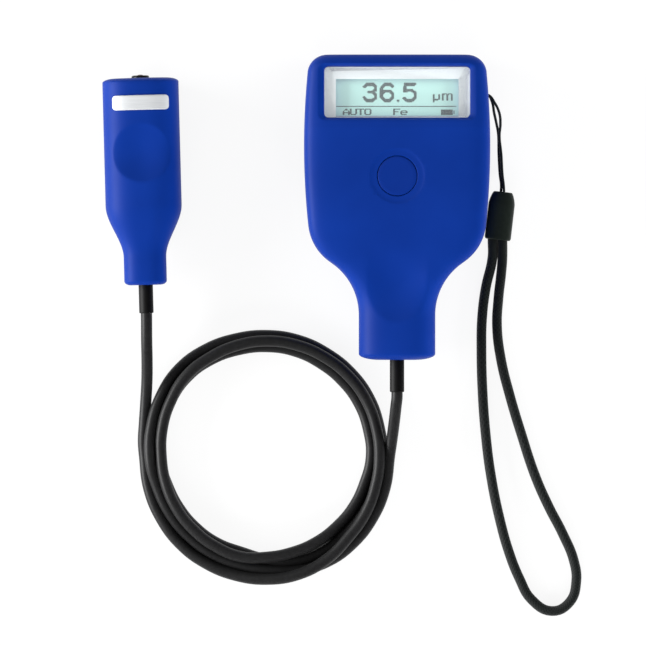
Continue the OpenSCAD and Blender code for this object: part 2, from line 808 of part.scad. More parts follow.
module probe_rear_shell() {
    boss_h = probe_high(probe_screw_y) * crown(probe_screw_x / probe_half(probe_screw_y), probe_power);
    color("royalblue") in_probe() difference() {
        union() {
            half_shell(
                [for (y = probe_ys) probe_ring(y, 0, 20, false)],
                [for (y = probe_ys) probe_ring(y, probe_wall, 10, false)],
                false
            );
            spring_seat(false);
            for (x = [-1, 1])
                translate([x * probe_screw_x, probe_screw_y, probe_split - boss_h + probe_wall / 2])
                    cylinder(h = boss_h - probe_wall / 2, r = probe_boss_r);
            for (y = [sensor_board_y1 - 2, sensor_board_y1 - board_l + 2])
                translate([0, y, probe_wall / 2]) cylinder(h = sensor_board_z - probe_wall / 2, r = 2);
        }
        probe_bores();
        for (x = [-1, 1])
            translate([x * probe_screw_x, probe_screw_y, -1]) {
                cylinder(h = probe_split + 2, r = probe_screw_r + 0.3);
                cylinder(h = probe_seat_z + 1, r = probe_head_r + slide_gap);
            }
    }
}

module tip_guide() {
    r = tip_d / 2;
    color("#202020") in_probe() translate([0, 0, probe_split]) rotate([-90, 0, 0]) rotate_extrude()
        polygon([
            [r + run_gap, probe_tip_y], [r + guide_ring, probe_tip_y],
            [r + guide_ring, probe_tip_y - probe_wall - fit],
            [r + guide_ring + 1.6, probe_tip_y - probe_wall - fit],
            [r + guide_ring + 1.6, probe_tip_y - probe_wall - 1.6],
            [r + guide_ring, probe_tip_y - probe_wall - 1.6],
            [r + guide_ring, probe_tip_y - guide_l], [r + run_gap, probe_tip_y - guide_l],
        ]);
}

// The sliding tip: a cup, open at its back, with a collar that stops it in the guide
module probe_plunger() {
    front = probe_tip_y + tip_out;
    collar_y = probe_tip_y - guide_l - fit;
    r = tip_d / 2;
    round_r = 0.6;
    color("#181818") in_probe() translate([0, 0, probe_split]) rotate([-90, 0, 0]) rotate_extrude()
        polygon(concat(
            [[core_r + run_gap, front - tip_shoulder], [core_r + run_gap, front]],
            [for (a = [90:-15:0]) [r - round_r * (1 - cos(a)), front - round_r * (1 - sin(a))]],
            [[r, collar_y], [r + tip_flange, collar_y], [r + tip_flange, plunger_back],
                [r - tip_wall, plunger_back], [r - tip_wall, front - tip_shoulder]]
        ));
}

module wear_tip() {
    front = probe_tip_y + tip_out;
    color("firebrick") in_probe() translate([0, 0, probe_split]) rotate([-90, 0, 0]) rotate_extrude()
        polygon(concat(
            [[0, front - tip_shoulder], [core_r, front - tip_shoulder]],
            [for (a = [0:15:90]) [core_r * cos(a), front + 0.3 * sin(a)]]
        ));
}

module sensor_core() {
    back = probe_tip_y + tip_out - tip_shoulder - core_l;
    color("slategray") in_probe() translate([0, 0, probe_split]) rod_y(back, core_l, core_r);
}

module sensor_coil() {
    top = probe_tip_y + tip_out - tip_shoulder;
    color("peru") in_probe() translate([0, 0, probe_split]) rotate([-90, 0, 0]) rotate_extrude()
        translate([core_r + run_gap, top - core_l + 2]) square([coil_r - core_r - run_gap, core_l - 2]);
}

module probe_spring() {
    turns = 5;
    per_turn = 10;
    r = tip_d / 2 + tip_flange - spring_wire / 2 - 0.2;
    from = seat_y + fit + spring_wire / 2;
    to = plunger_back - fit - spring_wire / 2;
    points = [for (i = [0:turns * per_turn])
        let (t = i / (turns * per_turn), a = 360 * turns * t)
        [r * cos(a), mix(from, to, t), probe_split + r * sin(a)]];
    color("silver") in_probe() cord(points, spring_wire, 6, [0, 1, 0]);
}

module sensor_board() {
    color("darkgreen") in_probe()
        translate([-board_w / 2, sensor_board_y1 - board_l, sensor_board_z]) cube([board_w, board_l, 1.2]);
}

module probe_screws() {
    color("silver") in_probe() for (x = [-1, 1])
        translate([x * probe_screw_x, probe_screw_y, probe_seat_z])
            screw(probe_screw_r, probe_split - probe_seat_z + 3, probe_head_r, 1.2);
}

// Thin plate that follows the curve of the probe's front
module probe_label() {
    count = 12;
    corner = 1.2;
    low = label_y - label_h / 2;
    high = label_y + label_h / 2;
    color("whitesmoke") in_probe() loft([for (i = [0:count])
        let (
            x = label_w * (i / count - 0.5),
            in = max(0, abs(x) - label_w / 2 + corner),
            cut = corner - sqrt(max(0.01, corner * corner - in * in)),
            z0 = probe_front_z(x, label_y, 0) + label_lift
        )
        [[x, high - cut, z0], [x, high - cut, z0 + label_t], [x, low + cut, z0 + label_t], [x, low + cut, z0]]]);
}

module probe_cable_sleeve() {
    in_probe() translate([0, probe_end_y, probe_split]) sleeve(probe_sleeve_l, probe_wall);
}

// Where a lead starts: the end of the probe's sleeve
probe_exit = [
    probe_at.x + sin(probe_turn) * (probe_l / 2 + probe_sleeve_l),
    probe_at.y - cos(probe_turn) * (probe_l / 2 + probe_sleeve_l),
    probe_split,
];
probe_way = [sin(probe_turn), -cos(probe_turn), 0];
gauge_exit = [0, y_end - sleeve_l, split_z];

module probe_cable_lead() {
    color("#2b2b2b") cord(concat([probe_exit, probe_exit + 1.5 * probe_way], lead_drop), cable_d, 8);
}

module cable_coil() {
    r = 2.6;
    color("#2b2b2b") translate([coil_at.x, coil_at.y, 0.05]) rotate_extrude($fn = 96)
        translate([(coil_in + coil_out) / 2, coil_h / 2]) rounded(coil_out - coil_in, coil_h, r);
}

module gauge_cable_lead() {
    color("#2b2b2b") cord(concat([gauge_exit, gauge_exit - [0, 1.5, 0]], gauge_drop), cable_d, 8);
}

bead_way = unit(bead_top - bead_end);
bead_side = [bead_way.y, -bead_way.x];

// Rubber slider: flat at the wrist loop's end, bevelled at the thin loop's end
module strap_bead() {
    l = norm(bead_top - bead_end);
    sides = 16;
    bevel_l = 4;
    rings = [
        [0, 0.9], [0.3, 0.97], [0.8, 1], [l - bevel_l, 1], [l - 0.6 * bevel_l, 0.93],
        [l - 0.25 * bevel_l, 0.82], [l - 0.06 * bevel_l, 0.73], [l, 0.66],
    ];
    color("#22261f") translate([bead_end.x, bead_end.y, bead_t / 2 + 0.05]) loft([for (ring = rings)
        [for (j = [0:sides - 1])
            let (
                a = 360 * j / sides,
                x = bead_w / 2 * ring[1] * sign(cos(a)) * pow(abs(cos(a)), 2 / bead_power),
                z = bead_t / 2 * ring[1] * sign(sin(a)) * pow(abs(sin(a)), 2 / bead_power)
            )
            [bead_way.x * ring[0] + bead_side.x * x, bead_way.y * ring[0] + bead_side.y * x, -z]]]);
}

// Where the strands of the wrist loop leave the bead
function bead_foot(side, back) = [
    bead_end.x + side * strap_reach * bead_side.x - back * bead_way.x,
    bead_end.y + side * strap_reach * bead_side.y - back * bead_way.y,
    strap_z + 1 - back / 6,
];

module strap_wrist_loop() {
    color("#222222") cord(concat(
        [bead_foot(-1, strap_gap), bead_foot(-1, 6)],
        [for (p = strap_xy) [p.x, p.y, strap_z]],
        [bead_foot(1, 6), bead_foot(1, strap_gap)]
    ), strap_d, 8);
}

// Thin loop: out of the bead, in at the upper hole, behind the bar and out at the lower hole
module strap_thin_loop() {
    inside = half_w(eye_y) - wall - 1.6;
    out = half_w(eye_y) + 1.2;
    start = [bead_top.x, bead_top.y + fit, bead_t / 2];
    color("#222222") cord(concat(
        [start + [0.6, 0, 0.3], start + [0.5, 2, 0.1]],
        thread_out,
        [[out, eye_y, eye_z[1]], [inside + 0.6, eye_y, eye_z[1]], [inside, eye_y, mix(eye_z[0], eye_z[1], 0.7)],
            [inside, eye_y, mix(eye_z[0], eye_z[1], 0.3)], [inside + 0.6, eye_y, eye_z[0]], [out, eye_y, eye_z[0]]],
        thread_back,
        [start + [-0.5, 2, -0.6], start + [-0.6, 0, -0.6]]
    ), thread_d, 8, [1, 1, 0.3]);
}

front_cover();
rear_cover();
battery_cover();
power_button();
display_window();
display_bezel();
lcd_glass();
lcd_holder();
main_board();
board_chips();
probe_connector();
tact_switch();
switch_plunger();
battery_left();
battery_right();
battery_springs();
battery_plates();
housing_screws();
gauge_cable_sleeve();
probe_front_shell();
probe_rear_shell();
tip_guide();
probe_plunger();
wear_tip();
sensor_core();
sensor_coil();
probe_spring();
sensor_board();
probe_screws();
probe_label();
probe_cable_sleeve();
probe_cable_lead();
cable_coil();
gauge_cable_lead();
strap_thin_loop();
strap_bead();
strap_wrist_loop();
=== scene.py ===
"""Coating thickness gauge with a corded probe and a wrist strap, lying on a pale table."""
import json
import math

import bmesh
import bpy
from mathutils import Matrix, Vector
from mathutils.geometry import interpolate_bezier

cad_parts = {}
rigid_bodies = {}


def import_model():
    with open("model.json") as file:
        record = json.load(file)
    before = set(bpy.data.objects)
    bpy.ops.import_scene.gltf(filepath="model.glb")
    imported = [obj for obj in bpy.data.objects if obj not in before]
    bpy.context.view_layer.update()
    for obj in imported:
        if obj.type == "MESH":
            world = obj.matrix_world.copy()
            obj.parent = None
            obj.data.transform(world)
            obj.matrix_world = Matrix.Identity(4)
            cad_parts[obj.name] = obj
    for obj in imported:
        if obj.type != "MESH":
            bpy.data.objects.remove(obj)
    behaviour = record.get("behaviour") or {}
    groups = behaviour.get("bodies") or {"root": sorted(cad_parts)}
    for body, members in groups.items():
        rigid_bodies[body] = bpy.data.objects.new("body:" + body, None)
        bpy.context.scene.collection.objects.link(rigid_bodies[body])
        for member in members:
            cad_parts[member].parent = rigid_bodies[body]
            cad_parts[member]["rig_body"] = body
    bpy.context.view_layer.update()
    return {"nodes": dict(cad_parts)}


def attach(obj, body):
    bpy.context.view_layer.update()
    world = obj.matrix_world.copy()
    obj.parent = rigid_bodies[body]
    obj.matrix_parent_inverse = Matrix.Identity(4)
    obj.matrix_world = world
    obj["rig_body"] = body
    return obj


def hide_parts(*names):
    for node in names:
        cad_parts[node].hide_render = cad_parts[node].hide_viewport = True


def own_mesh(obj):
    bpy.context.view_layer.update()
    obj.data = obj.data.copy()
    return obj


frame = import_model()
scene = bpy.context.scene
scene.view_settings.view_transform = "Standard"


# View: a long lens straight above the set, top edge of the gauge up the picture.
# The picture is square and shows 215.3 mm at half the height of the gauge.
MM = 0.001
view_middle = (-24.67, -38.5)
view_width = 215.3
lens_height = 4000.0
half_gauge = 14.0
sensor_width = 36.0

camera_data = bpy.data.cameras.new("camera")
camera_data.sensor_width = sensor_width
camera_data.lens = sensor_width * (lens_height - half_gauge) / view_width
camera = bpy.data.objects.new("camera", camera_data)
camera.location = Vector((*view_middle, lens_height)) * MM
scene.collection.objects.link(camera)
scene.camera = camera


# Table: one pale board under everything, painted matt, level with the back of the gauge.
# It glows white to the lens, and the share of plain paint that is left takes the soft shadows.
def linear(code):
    """sRGB hex colour as linear values, opaque"""
    channels = [int(code[i:i + 2], 16) / 255 for i in (1, 3, 5)]
    return (*[c / 12.92 if c <= 0.04045 else ((c + 0.055) / 1.055) ** 2.4 for c in channels], 1.0)


def add(tree, kind, inputs=None, to=None, **settings):
    """One node with its settings and links: each input is a value or another node's output,
    and the node's own first output goes to a socket, if one is given"""
    made = tree.nodes.new("ShaderNode" + kind)
    for name, value in settings.items():
        setattr(made, name, value)
    for name, value in (inputs or {}).items():
        if isinstance(value, bpy.types.NodeSocket):
            tree.links.new(value, made.inputs[name])
        else:
            made.inputs[name].default_value = value
    if to is not None:
        tree.links.new(made.outputs[0], to)
    return made


def new_finish(name, inputs):
    """A Principled material with the given inputs: the material, its tree and its shader"""
    made = bpy.data.materials.new(name)
    made.use_nodes = True
    shader = made.node_tree.nodes["Principled BSDF"]
    for key, value in inputs.items():
        shader.inputs[key].default_value = value
    return made, made.node_tree, shader


def new_piece(name, bm, finish, smooth_below=40.0):
    """An object at the origin from a bmesh, shaded smooth over edges flatter than the given angle"""
    bm.normal_update()
    for face in bm.faces:
        face.smooth = True
    for edge in bm.edges:
        if len(edge.link_faces) == 2:
            edge.smooth = edge.calc_face_angle(0.0) < math.radians(smooth_below)
    mesh = bpy.data.meshes.new(name)
    bm.to_mesh(mesh)
    bm.free()
    mesh.materials.append(finish)
    made = bpy.data.objects.new(name, mesh)
    scene.collection.objects.link(made)
    return made


# Matt white paint: it glows for the lens and in reflections, and keeps only faint soft shadows
glow_share, glow_level = 0.86, 1.02
board_white, tree, shader = new_finish("table_board", {"Base Color": linear("#f2f2f2"), "Roughness": 0.8})
rays = add(tree, "LightPath").outputs
seen = add(tree, "Math", {0: rays["Is Camera Ray"], 1: rays["Is Glossy Ray"]}, operation="MAXIMUM")
seen = add(tree, "Math", {0: seen.outputs[0], 1: rays["Is Transmission Ray"]}, operation="MAXIMUM")
share = add(tree, "Math", {0: seen.outputs[0], 1: glow_share}, operation="MULTIPLY")
glow = add(tree, "Emission", {"Color": (1, 1, 1, 1), "Strength": glow_level})
add(tree, "MixShader", {0: share.outputs[0], 1: shader.outputs[0], 2: glow.outputs[0]},
    tree.nodes["Material Output"].inputs["Surface"])

table_half, table_drop = 3000.0, 0.1
table = bmesh.new()
bmesh.ops.create_grid(table, x_segments=8, y_segments=8, size=table_half * MM,
                      matrix=Matrix.Translation((0, 0, -table_drop * MM)))
new_piece("table", table, board_white)


# Studio light: a large soft box low on the left, weaker ones on the right and below, and an even room.
# The room is white to the lens, pale to matt surfaces and dim in reflections, so gloss stays soft.
room_white, room_fill, room_gloss = 1.0, 0.4, 0.06
world = bpy.data.worlds.new("room")
world.use_nodes = True
scene.world = world
tree = world.node_tree
rays = add(tree, "LightPath").outputs
seen = add(tree, "Math", {0: rays["Is Camera Ray"], 1: rays["Is Transmission Ray"]}, operation="MAXIMUM")
fill = add(tree, "Mix", {"Factor": rays["Is Glossy Ray"], "A": room_fill, "B": room_gloss},
           data_type="FLOAT")
backdrop = tree.nodes["Background"].inputs
backdrop["Color"].default_value = (1, 1, 1, 1)
add(tree, "Mix", {"Factor": seen.outputs[0], "A": fill.outputs[0], "B": room_white},
    backdrop["Strength"], data_type="FLOAT")
set_middle = Vector((-20.0, -30.0, 0.0))


def soft_box(name, place, width, height, watts, mirrored=True):
    """A rectangular lamp facing the middle of the set, with its place and size in mm"""
    lamp = bpy.data.lights.new(name, "AREA")
    lamp.shape = "RECTANGLE"
    lamp.size = width * MM
    lamp.size_y = height * MM
    lamp.energy = watts
    made = bpy.data.objects.new(name, lamp)
    made.location = Vector(place) * MM
    made.rotation_euler = (set_middle - Vector(place)).to_track_quat("-Z", "Y").to_euler()
    made.visible_glossy = mirrored
    scene.collection.objects.link(made)


soft_box("left_box", (-1100.0, 0.0, 330.0), 1000.0, 400.0, 25.0)
soft_box("right_box", (1100.0, 100.0, 330.0), 900.0, 400.0, 16.0, mirrored=False)
soft_box("low_box", (0.0, -1000.0, 450.0), 900.0, 400.0, 10.0, mirrored=False)


# Probe cable: one PVC-jacketed lead from the probe's sleeve, down to the table, three and a half
# turns in a ring that is laid by hand with turns on turns, and up into the gauge's sleeve.
cable_d = 3.8
ring_middle = (-43.3, -83.2)
table_gap = 0.12
low = cable_d / 2 + table_gap
probe_exit = (-83.55, -35.21, 11.2)
gauge_exit = (0.0, -61.5, 13.5)
probe_run = [probe_exit, (-83.52, -37.5, 11.2), (-83.5, -44.0, 10.2), (-83.4, -51.5, 7.4),
             (-83.5, -58.0, 4.6), (-83.9, -65.0, 2.7), (-84.4, -72.5, low), (-84.7, -78.0, low)]
gauge_run = [(-2.4, -82.5, 4.6), (-1.6, -77.0, 6.6), (-0.9, -71.5, 9.5), (-0.3, -66.0, 12.4),
             (0.0, -63.2, 13.5), gauge_exit]
# Keys of the ring: angle in degrees, then radius and height of the strand at that angle on each lap
ring_keys = [
    (180, [(41.0, low), (35.4, 5.7), (36.4, low), (39.2, 5.3)]),
    (202, [(41.0, low), (34.9, 5.8), (34.3, low), (37.8, 3.2)]),
    (225, [(41.2, low), (34.6, 5.8), (33.7, low), (37.5, low)]),
    (255, [(41.0, 3.2), (34.5, 5.9), (33.1, low), (37.45, low)]),
    (270, [(40.9, 4.6), (33.5, 5.9), (34.4, low), (37.8, 2.4)]),
    (285, [(40.6, 5.7), (33.0, 5.2), (35.8, low), (39.3, low)]),
    (300, [(39.6, 5.9), (32.9, 4.2), (36.6, low), (40.4, low)]),
    (315, [(38.2, 5.9), (32.95, 3.0), (36.4, low), (40.7, low)]),
    (345, [(37.5, 5.9), (33.8, low), (37.4, low), (40.7, 3.6)]),
    (360, [(37.5, 5.9), (34.8, low), (38.35, low)]),
    (405, [(38.3, 5.7), (35.7, low), (39.6, low)]),
    (450, [(38.7, 5.6), (36.8, low), (40.5, low)]),
    (495, [(38.2, 5.8), (37.8, low), (41.6, low)]),
    (517, [(36.9, 5.85), (37.2, low), (40.7, 3.9)]),
    (525, [(36.3, 5.8), (36.8, low), (40.0, 4.6)]),
]
keys = sorted((angle + 360 * lap, *place) for angle, laps in ring_keys for lap, place in enumerate(laps))


def ease(t):
    """A smooth step from 0 to 1"""
    t = min(1.0, max(0.0, t))
    return t * t * (3 - 2 * t)


def mix(a, b, t):
    """A value between a, at t = 0, and b, at t = 1"""
    return a + (b - a) * t


ring_run = []
ring_step = 15
for angle in range(keys[0][0], keys[-1][0] + 1, ring_step):
    before = max(k for k in keys if k[0] <= angle)
    after = min((k for k in keys if k[0] > angle), default=before)
    t = ease((angle - before[0]) / max(1, after[0] - before[0]))
    r, z = mix(before[1], after[1], t), mix(before[2], after[2], t)
    turn = math.radians(angle)
    ring_run.append((ring_middle[0] + r * math.cos(turn), ring_middle[1] + r * math.sin(turn), z))


def new_cord(name, points, diameter):
    """A round cord along smooth points, in mm"""
    curve = bpy.data.curves.new(name, "CURVE")
    curve.dimensions = "3D"
    curve.bevel_depth = diameter / 2 * MM
    curve.bevel_resolution = 6
    curve.resolution_u = 6
    curve.use_fill_caps = True
    line = curve.splines.new("BEZIER")
    line.bezier_points.add(len(points) - 1)
    for knot, point in zip(line.bezier_points, points):
        knot.co = Vector(point) * MM
        knot.handle_left_type = knot.handle_right_type = "AUTO"
    made = bpy.data.objects.new(name, curve)
    scene.collection.objects.link(made)
    return made


def curve_length(cord):
    """Length of a curve's own line, in metres"""
    line = cord.data.splines[0]
    total = 0.0
    for a, b in zip(line.bezier_points, line.bezier_points[1:]):
        way = interpolate_bezier(a.co, a.handle_right, b.handle_left, b.co, 12)
        total += sum((q - p).length for p, q in zip(way, way[1:]))
    return total


def mottled(name, deep, pale, size, inputs, detail=2.0, bump=None):
    """A material in soft spots between two hex colours, with the size of the spots in mm.
    Where bump gives a strength and a depth in mm, the spots are raised as well."""
    made, tree, shader = new_finish(name, inputs)
    place = add(tree, "TexCoord")
    scale = 1.0 / (size * MM)
    spots = add(tree, "TexNoise", {"Vector": place.outputs["Object"], "Scale": scale, "Detail": detail})
    tint = add(tree, "ValToRGB", {0: spots.outputs[0]}, shader.inputs["Base Color"])
    tint.color_ramp.elements[0].color = linear(deep)
    tint.color_ramp.elements[1].color = linear(pale)
    if bump:
        strength, depth = bump
        add(tree, "Bump", {"Height": spots.outputs[0], "Strength": strength, "Distance": depth * MM},
            shader.inputs["Normal"])
    return made


# Soft PVC, extruded: dark grey with a broad dull sheen and a faint mottle
pvc_sheen = {"Roughness": 0.45, "Specular IOR Level": 0.25}
cable_pvc = mottled("cable_pvc", "#151515", "#222223", 1.11, pvc_sheen, bump=(0.08, 0.2))

cable = new_cord("probe_cable", probe_run + ring_run + gauge_run, cable_d)
cable.data.materials.append(cable_pvc)
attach(cable, "gauge")
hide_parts("probe_cable_lead", "cable_coil", "gauge_cable_lead")
bpy.context.view_layer.update()
round(curve_length(cable), 3)


# Front cover: upper half of the housing, injection moulded in blue ABS with a fine matt texture.
# Its skin is one lofted surface: bowed sides, shoulders, neck, thumb scoop, sloping display face.
# Here x and y run from the middle of the gauge and z from its back, all in mm.
split_z = 13.5
wall = 2.0
y_top, y_end = 50.8, -50.8
y_crease, y_wide, y_land, y_ramp, y_neck = 26.5, 20.5, 0.8, -16.0, -35.8
half_wide, half_neck = 31.0, 12.75
corner_r, edge_r = 6.5, 3.5
side_r, shoulder_r, throat_r = 250.0, 17.0, 21.0
crease_z, neck_low, neck_high = 28.0, 3.5, 23.5
face_slope = math.radians(5)
body_power, neck_power = 8.0, 2.8
dome_l, dome_in, dome_share = 2.0, 7.0, 0.7
scoop_y, scoop_half, scoop_reach, scoop_depth, scoop_start = -25.4, 10.0, 13.0, 1.8, -12.4

# Plan: the shoulder's circle touches the bowed side from inside and the throat's circle from outside
side_c = Vector((half_wide - side_r, y_wide))
throat_c = Vector((half_neck + throat_r, y_neck))
along = throat_c - side_c
reach = along.length
along.normalize()
foot = ((side_r - shoulder_r) ** 2 - (shoulder_r + throat_r) ** 2 + reach ** 2) / (2 * reach)
rise = math.sqrt((side_r - shoulder_r) ** 2 - foot ** 2)
shoulder_c = side_c + foot * along + rise * Vector((-along.y, along.x))
y_shoulder = (side_c + side_r * (shoulder_c - side_c).normalized()).y
y_throat = (shoulder_c + shoulder_r * (throat_c - shoulder_c).normalized()).y


def crown(u, power):
    """Height of a squared-off arch at u, which runs from -1 to 1"""
    return max(0.0, 1 - abs(u) ** power) ** (1 / power)


def half_w(y):
    """Half the width of the gauge: corner, bowed side, shoulder, throat and neck"""
    if y > y_top - corner_r:
        bend = math.sqrt(max(0.0, corner_r ** 2 - (y - y_top + corner_r) ** 2))
        return half_w(y_top - corner_r) - corner_r + bend
    if y > y_shoulder:
        return side_c.x + math.sqrt(side_r ** 2 - (y - side_c.y) ** 2)
    if y > y_throat:
        return shoulder_c.x + math.sqrt(shoulder_r ** 2 - (y - shoulder_c.y) ** 2)
    if y > y_neck:
        return throat_c.x - math.sqrt(throat_r ** 2 - (y - throat_c.y) ** 2)
    return half_neck


def front_z(y):
    """Height of the front: the sloping display face, a flat middle and the fall to the neck"""
    if y > y_crease:
        return crease_z - (y - y_crease) * math.tan(face_slope)
    return mix(crease_z, neck_high, ease((y_land - y) / (y_land - y_neck)))


def back_z(y):
    """Height of the back: flat, then a ramp up to the neck"""
    return neck_low * ease((y_ramp - y) / (y_ramp - y_neck))


def power_at(y):
    """How square the section is: squarer in the body, rounder in the neck"""
    return mix(body_power, neck_power, ease((y_shoulder - y) / (y_shoulder - y_neck)))


def edge_inset(y):
    """How far the rounded top edge draws the section in"""
    return edge_r - math.sqrt(max(0.0, edge_r ** 2 - max(0.0, y - y_top + edge_r) ** 2))


def dome_inset(y):
    """How far the domed end of the neck draws the section in"""
    over = max(0.0, y_end + dome_l - y) / dome_l
    return dome_in * (1 - math.sqrt(max(0.0, 1 - over ** 2)))


def scoop(x, y):
    """Depth of the thumb scoop: a round lower rim, running out softly toward the button"""
    rim = 1 - (x / scoop_half) ** 2 - (min(0.0, y - scoop_y) / scoop_reach) ** 2
    return scoop_depth * max(0.0, rim) * ease((scoop_start - y) / scoop_reach)


# Rows from the top edge to the end of the neck, closer together where the surface bends
def spread(*stops):
    """Places from stop to stop: (first place, then (place, steps) pairs)"""
    made = [stops[0]]
    for end, steps in stops[1:]:
        start = made[-1]
        made += [mix(start, end, (i + 1) / steps) for i in range(steps)]
    return made


round_edge = [y_top - edge_r * (1 - math.sin(math.radians(a))) for a in range(90, 0, -9)]
round_end = [y_end + dome_l * (1 - math.sin(math.radians(a))) for a in range(10, 91, 10)]
gauge_rows = round_edge + spread(y_top - edge_r, (46.5, 8), (45.3, 6), (42.9, 2), (31.3, 12), (30.3, 5),
                                 (29.0, 10), (27.0, 3), (26.0, 5), (y_land, 24), (y_shoulder, 14),
                                 (y_throat, 12), (y_neck, 16), (y_end + dome_l, 14)) + round_end

# Columns: straight ones over the face, then ones set by height down the rounded side
straight = spread(0.0, (20.4, 17), (22.8, 4), (24.2, 7), (26.6, 10))
falls = (0.985, 0.965, 0.94, 0.91, 0.87, 0.82, 0.76, 0.68, 0.58, 0.46, 0.32, 0.16, 0.03, 0.0)
right_half = [("x", x) for x in straight] + [("z", f) for f in falls]
gauge_columns = [(kind, value, -1) for kind, value in reversed(right_half[1:])]
gauge_columns += [(kind, value, 1) for kind, value in right_half]
groove = 0.25
even_from, even_to = -10.0, 47.5
end_draw = 8.0


def section(y, column, inset):
    """Place across the gauge and share of the height, for one column of the row at y"""
    kind, value, side = column
    w = half_w(y) - dome_inset(y) - inset
    power = power_at(y)
    squeeze = (half_w(y) - dome_inset(y)) / half_w(min(even_to, max(even_from, y)))
    if kind == "x":
        x = value * squeeze
        return side * x, crown(x / w, power)
    share = crown(straight[-1] * squeeze / w, power) * value
    x = w * (1 - share ** power) ** (1 / power)
    return side * (x - (groove if value == 0.0 else 0.0)), share


def drawn_y(y, inset):
    """A row at an inset under the surface stops short of both ends by as much"""
    short = max(0.0, (y - y_top + edge_r) / edge_r) - max(0.0, (y_end + end_draw - y) / end_draw)
    return y - inset * short


# Window: a recess with sloping sides in the display face, through to a frame that carries the display
y_window = 38.3
view_drop = 1.7
window_w, window_h = 48.6, 17.2
window_sink, window_floor, frame_low = 1.4, 2.9, 4.4
window_r, window_gap = 1.4, 0.1
flare_along, flare_across, flare_lip = 0.7, 2.0, 0.25
frame_from, frame_wide = 0.3, 0.8
near_x, near_y = 27.0, 28.0


def window_edge(x, y):
    """Distance outside the window's rounded outline, and how much of it is across"""
    px = abs(x) - window_w / 2 + window_r
    py = abs(y - y_window) / math.cos(face_slope) - window_h / 2 + window_r
    out = Vector((max(px, 0.0), max(py, 0.0)))
    across = (out.x / out.length) ** 2 if out.length > 0 else 0.5
    return out.length + min(max(px, py), 0.0) - window_r - window_gap, across


def face_plane(y, down):
    """Height at y of a plane that lies a distance under the display face"""
    return front_z(y_window) - (y - y_window) * math.tan(face_slope) - down / math.cos(face_slope)


def front_place(y, column, cap, inset):
    """A place on the front half, an inset under its surface, or on its split line for a cap"""
    x, share = section(y, column, inset)
    if cap:
        return x, drawn_y(y, inset), split_z
    rise = front_z(y) - split_z - inset - edge_inset(y) - dome_share * dome_inset(y)
    z = split_z + rise * share - scoop(x, y)
    if y > near_y and abs(x) < near_x:
        out, across = window_edge(x, y)
        if inset:
            z = min(z, mix(face_plane(y, frame_low), z, ease((out - frame_from) / frame_wide)))
        else:
            slope = mix(flare_along, flare_across, across)
            flare = mix(face_plane(y, window_sink), z, min(1.0, max(0.0, out / slope)))
            z = min(z, mix(face_plane(y, window_floor), flare, ease((out + flare_lip) / flare_lip)))
    return x, drawn_y(y, inset), z


def half_shell(rows, columns, place, thick, opening=None):
    """A closed thin half: a ring of outer and inner places for each row, joined end to end"""
    ends = [(rows[0], True)] + [(y, False) for y in rows] + [(rows[-1], True)]
    count, last = len(columns), len(ends) - 1
    around = 2 * count - 1
    bm = bmesh.new()
    bmesh.ops.create_grid(bm, x_segments=around, y_segments=last, size=1.0)
    ring = {(round((v.co.x + 1) / 2 * around), round((v.co.y + 1) / 2 * last)): v for v in bm.verts}
    for (i, k), vert in ring.items():
        y, cap = ends[k]
        inset = 0.0 if i < count else thick
        vert.co = Vector(place(y, columns[min(i, around - i)], cap, inset)) * MM
    facing = {ring[i, k]: ring[around - i, k] for i in range(count) for k in range(last + 1)}
    if opening:
        gone = [f for f in bm.faces if opening(f.calc_center_median() / MM)]
        bmesh.ops.delete(bm, geom=gone, context="FACES")
    for edge in [e for e in bm.edges if e.is_boundary]:
        a, b = edge.verts
        if a in facing and b in facing:
            bm.faces.new((a, b, facing[b], facing[a]))
    bmesh.ops.recalc_face_normals(bm, faces=bm.faces)
    if bm.calc_volume(signed=True) < 0:
        bmesh.ops.reverse_faces(bm, faces=bm.faces)
    return bm


def spun(profile, middle):
    """A round solid from (radius, height) pairs about an upright axis"""
    bm = bmesh.new()
    verts = [bm.verts.new((r * MM, 0, z * MM)) for r, z in profile]
    edges = [bm.edges.new(pair) for pair in zip(verts, verts[1:])]
    bmesh.ops.spin(bm, geom=verts + edges, axis=(0, 0, 1), cent=(0, 0, 0), angle=2 * math.pi,
                   steps=96, use_merge=True)
    bmesh.ops.remove_doubles(bm, verts=bm.verts, dist=1e-6)
    bmesh.ops.translate(bm, verts=bm.verts, vec=Vector(middle) * MM)
    bmesh.ops.recalc_face_normals(bm, faces=bm.faces)
    return bm


def carve(piece, tool, operation="DIFFERENCE"):
    """Cuts a closed bmesh out of a piece, or joins it on"""
    mesh = bpy.data.meshes.new("tool")
    tool.to_mesh(mesh)
    tool.free()
    other = bpy.data.objects.new("tool", mesh)
    scene.collection.objects.link(other)
    cut = piece.modifiers.new("cut", "BOOLEAN")
    cut.operation = operation
    cut.solver = "MANIFOLD"
    cut.object = other
    bpy.context.view_layer.update()
    made = bpy.data.meshes.new_from_object(piece.evaluated_get(bpy.context.evaluated_depsgraph_get()))
    piece.modifiers.clear()
    piece.data = made
    bpy.data.objects.remove(other)


def crisp(piece, angle=35.0):
    """Smooth shading, with edges sharper than the angle left sharp"""
    piece.data.polygons.foreach_set("use_smooth", [True] * len(piece.data.polygons))
    piece.data.set_sharp_from_angle(angle=math.radians(angle))


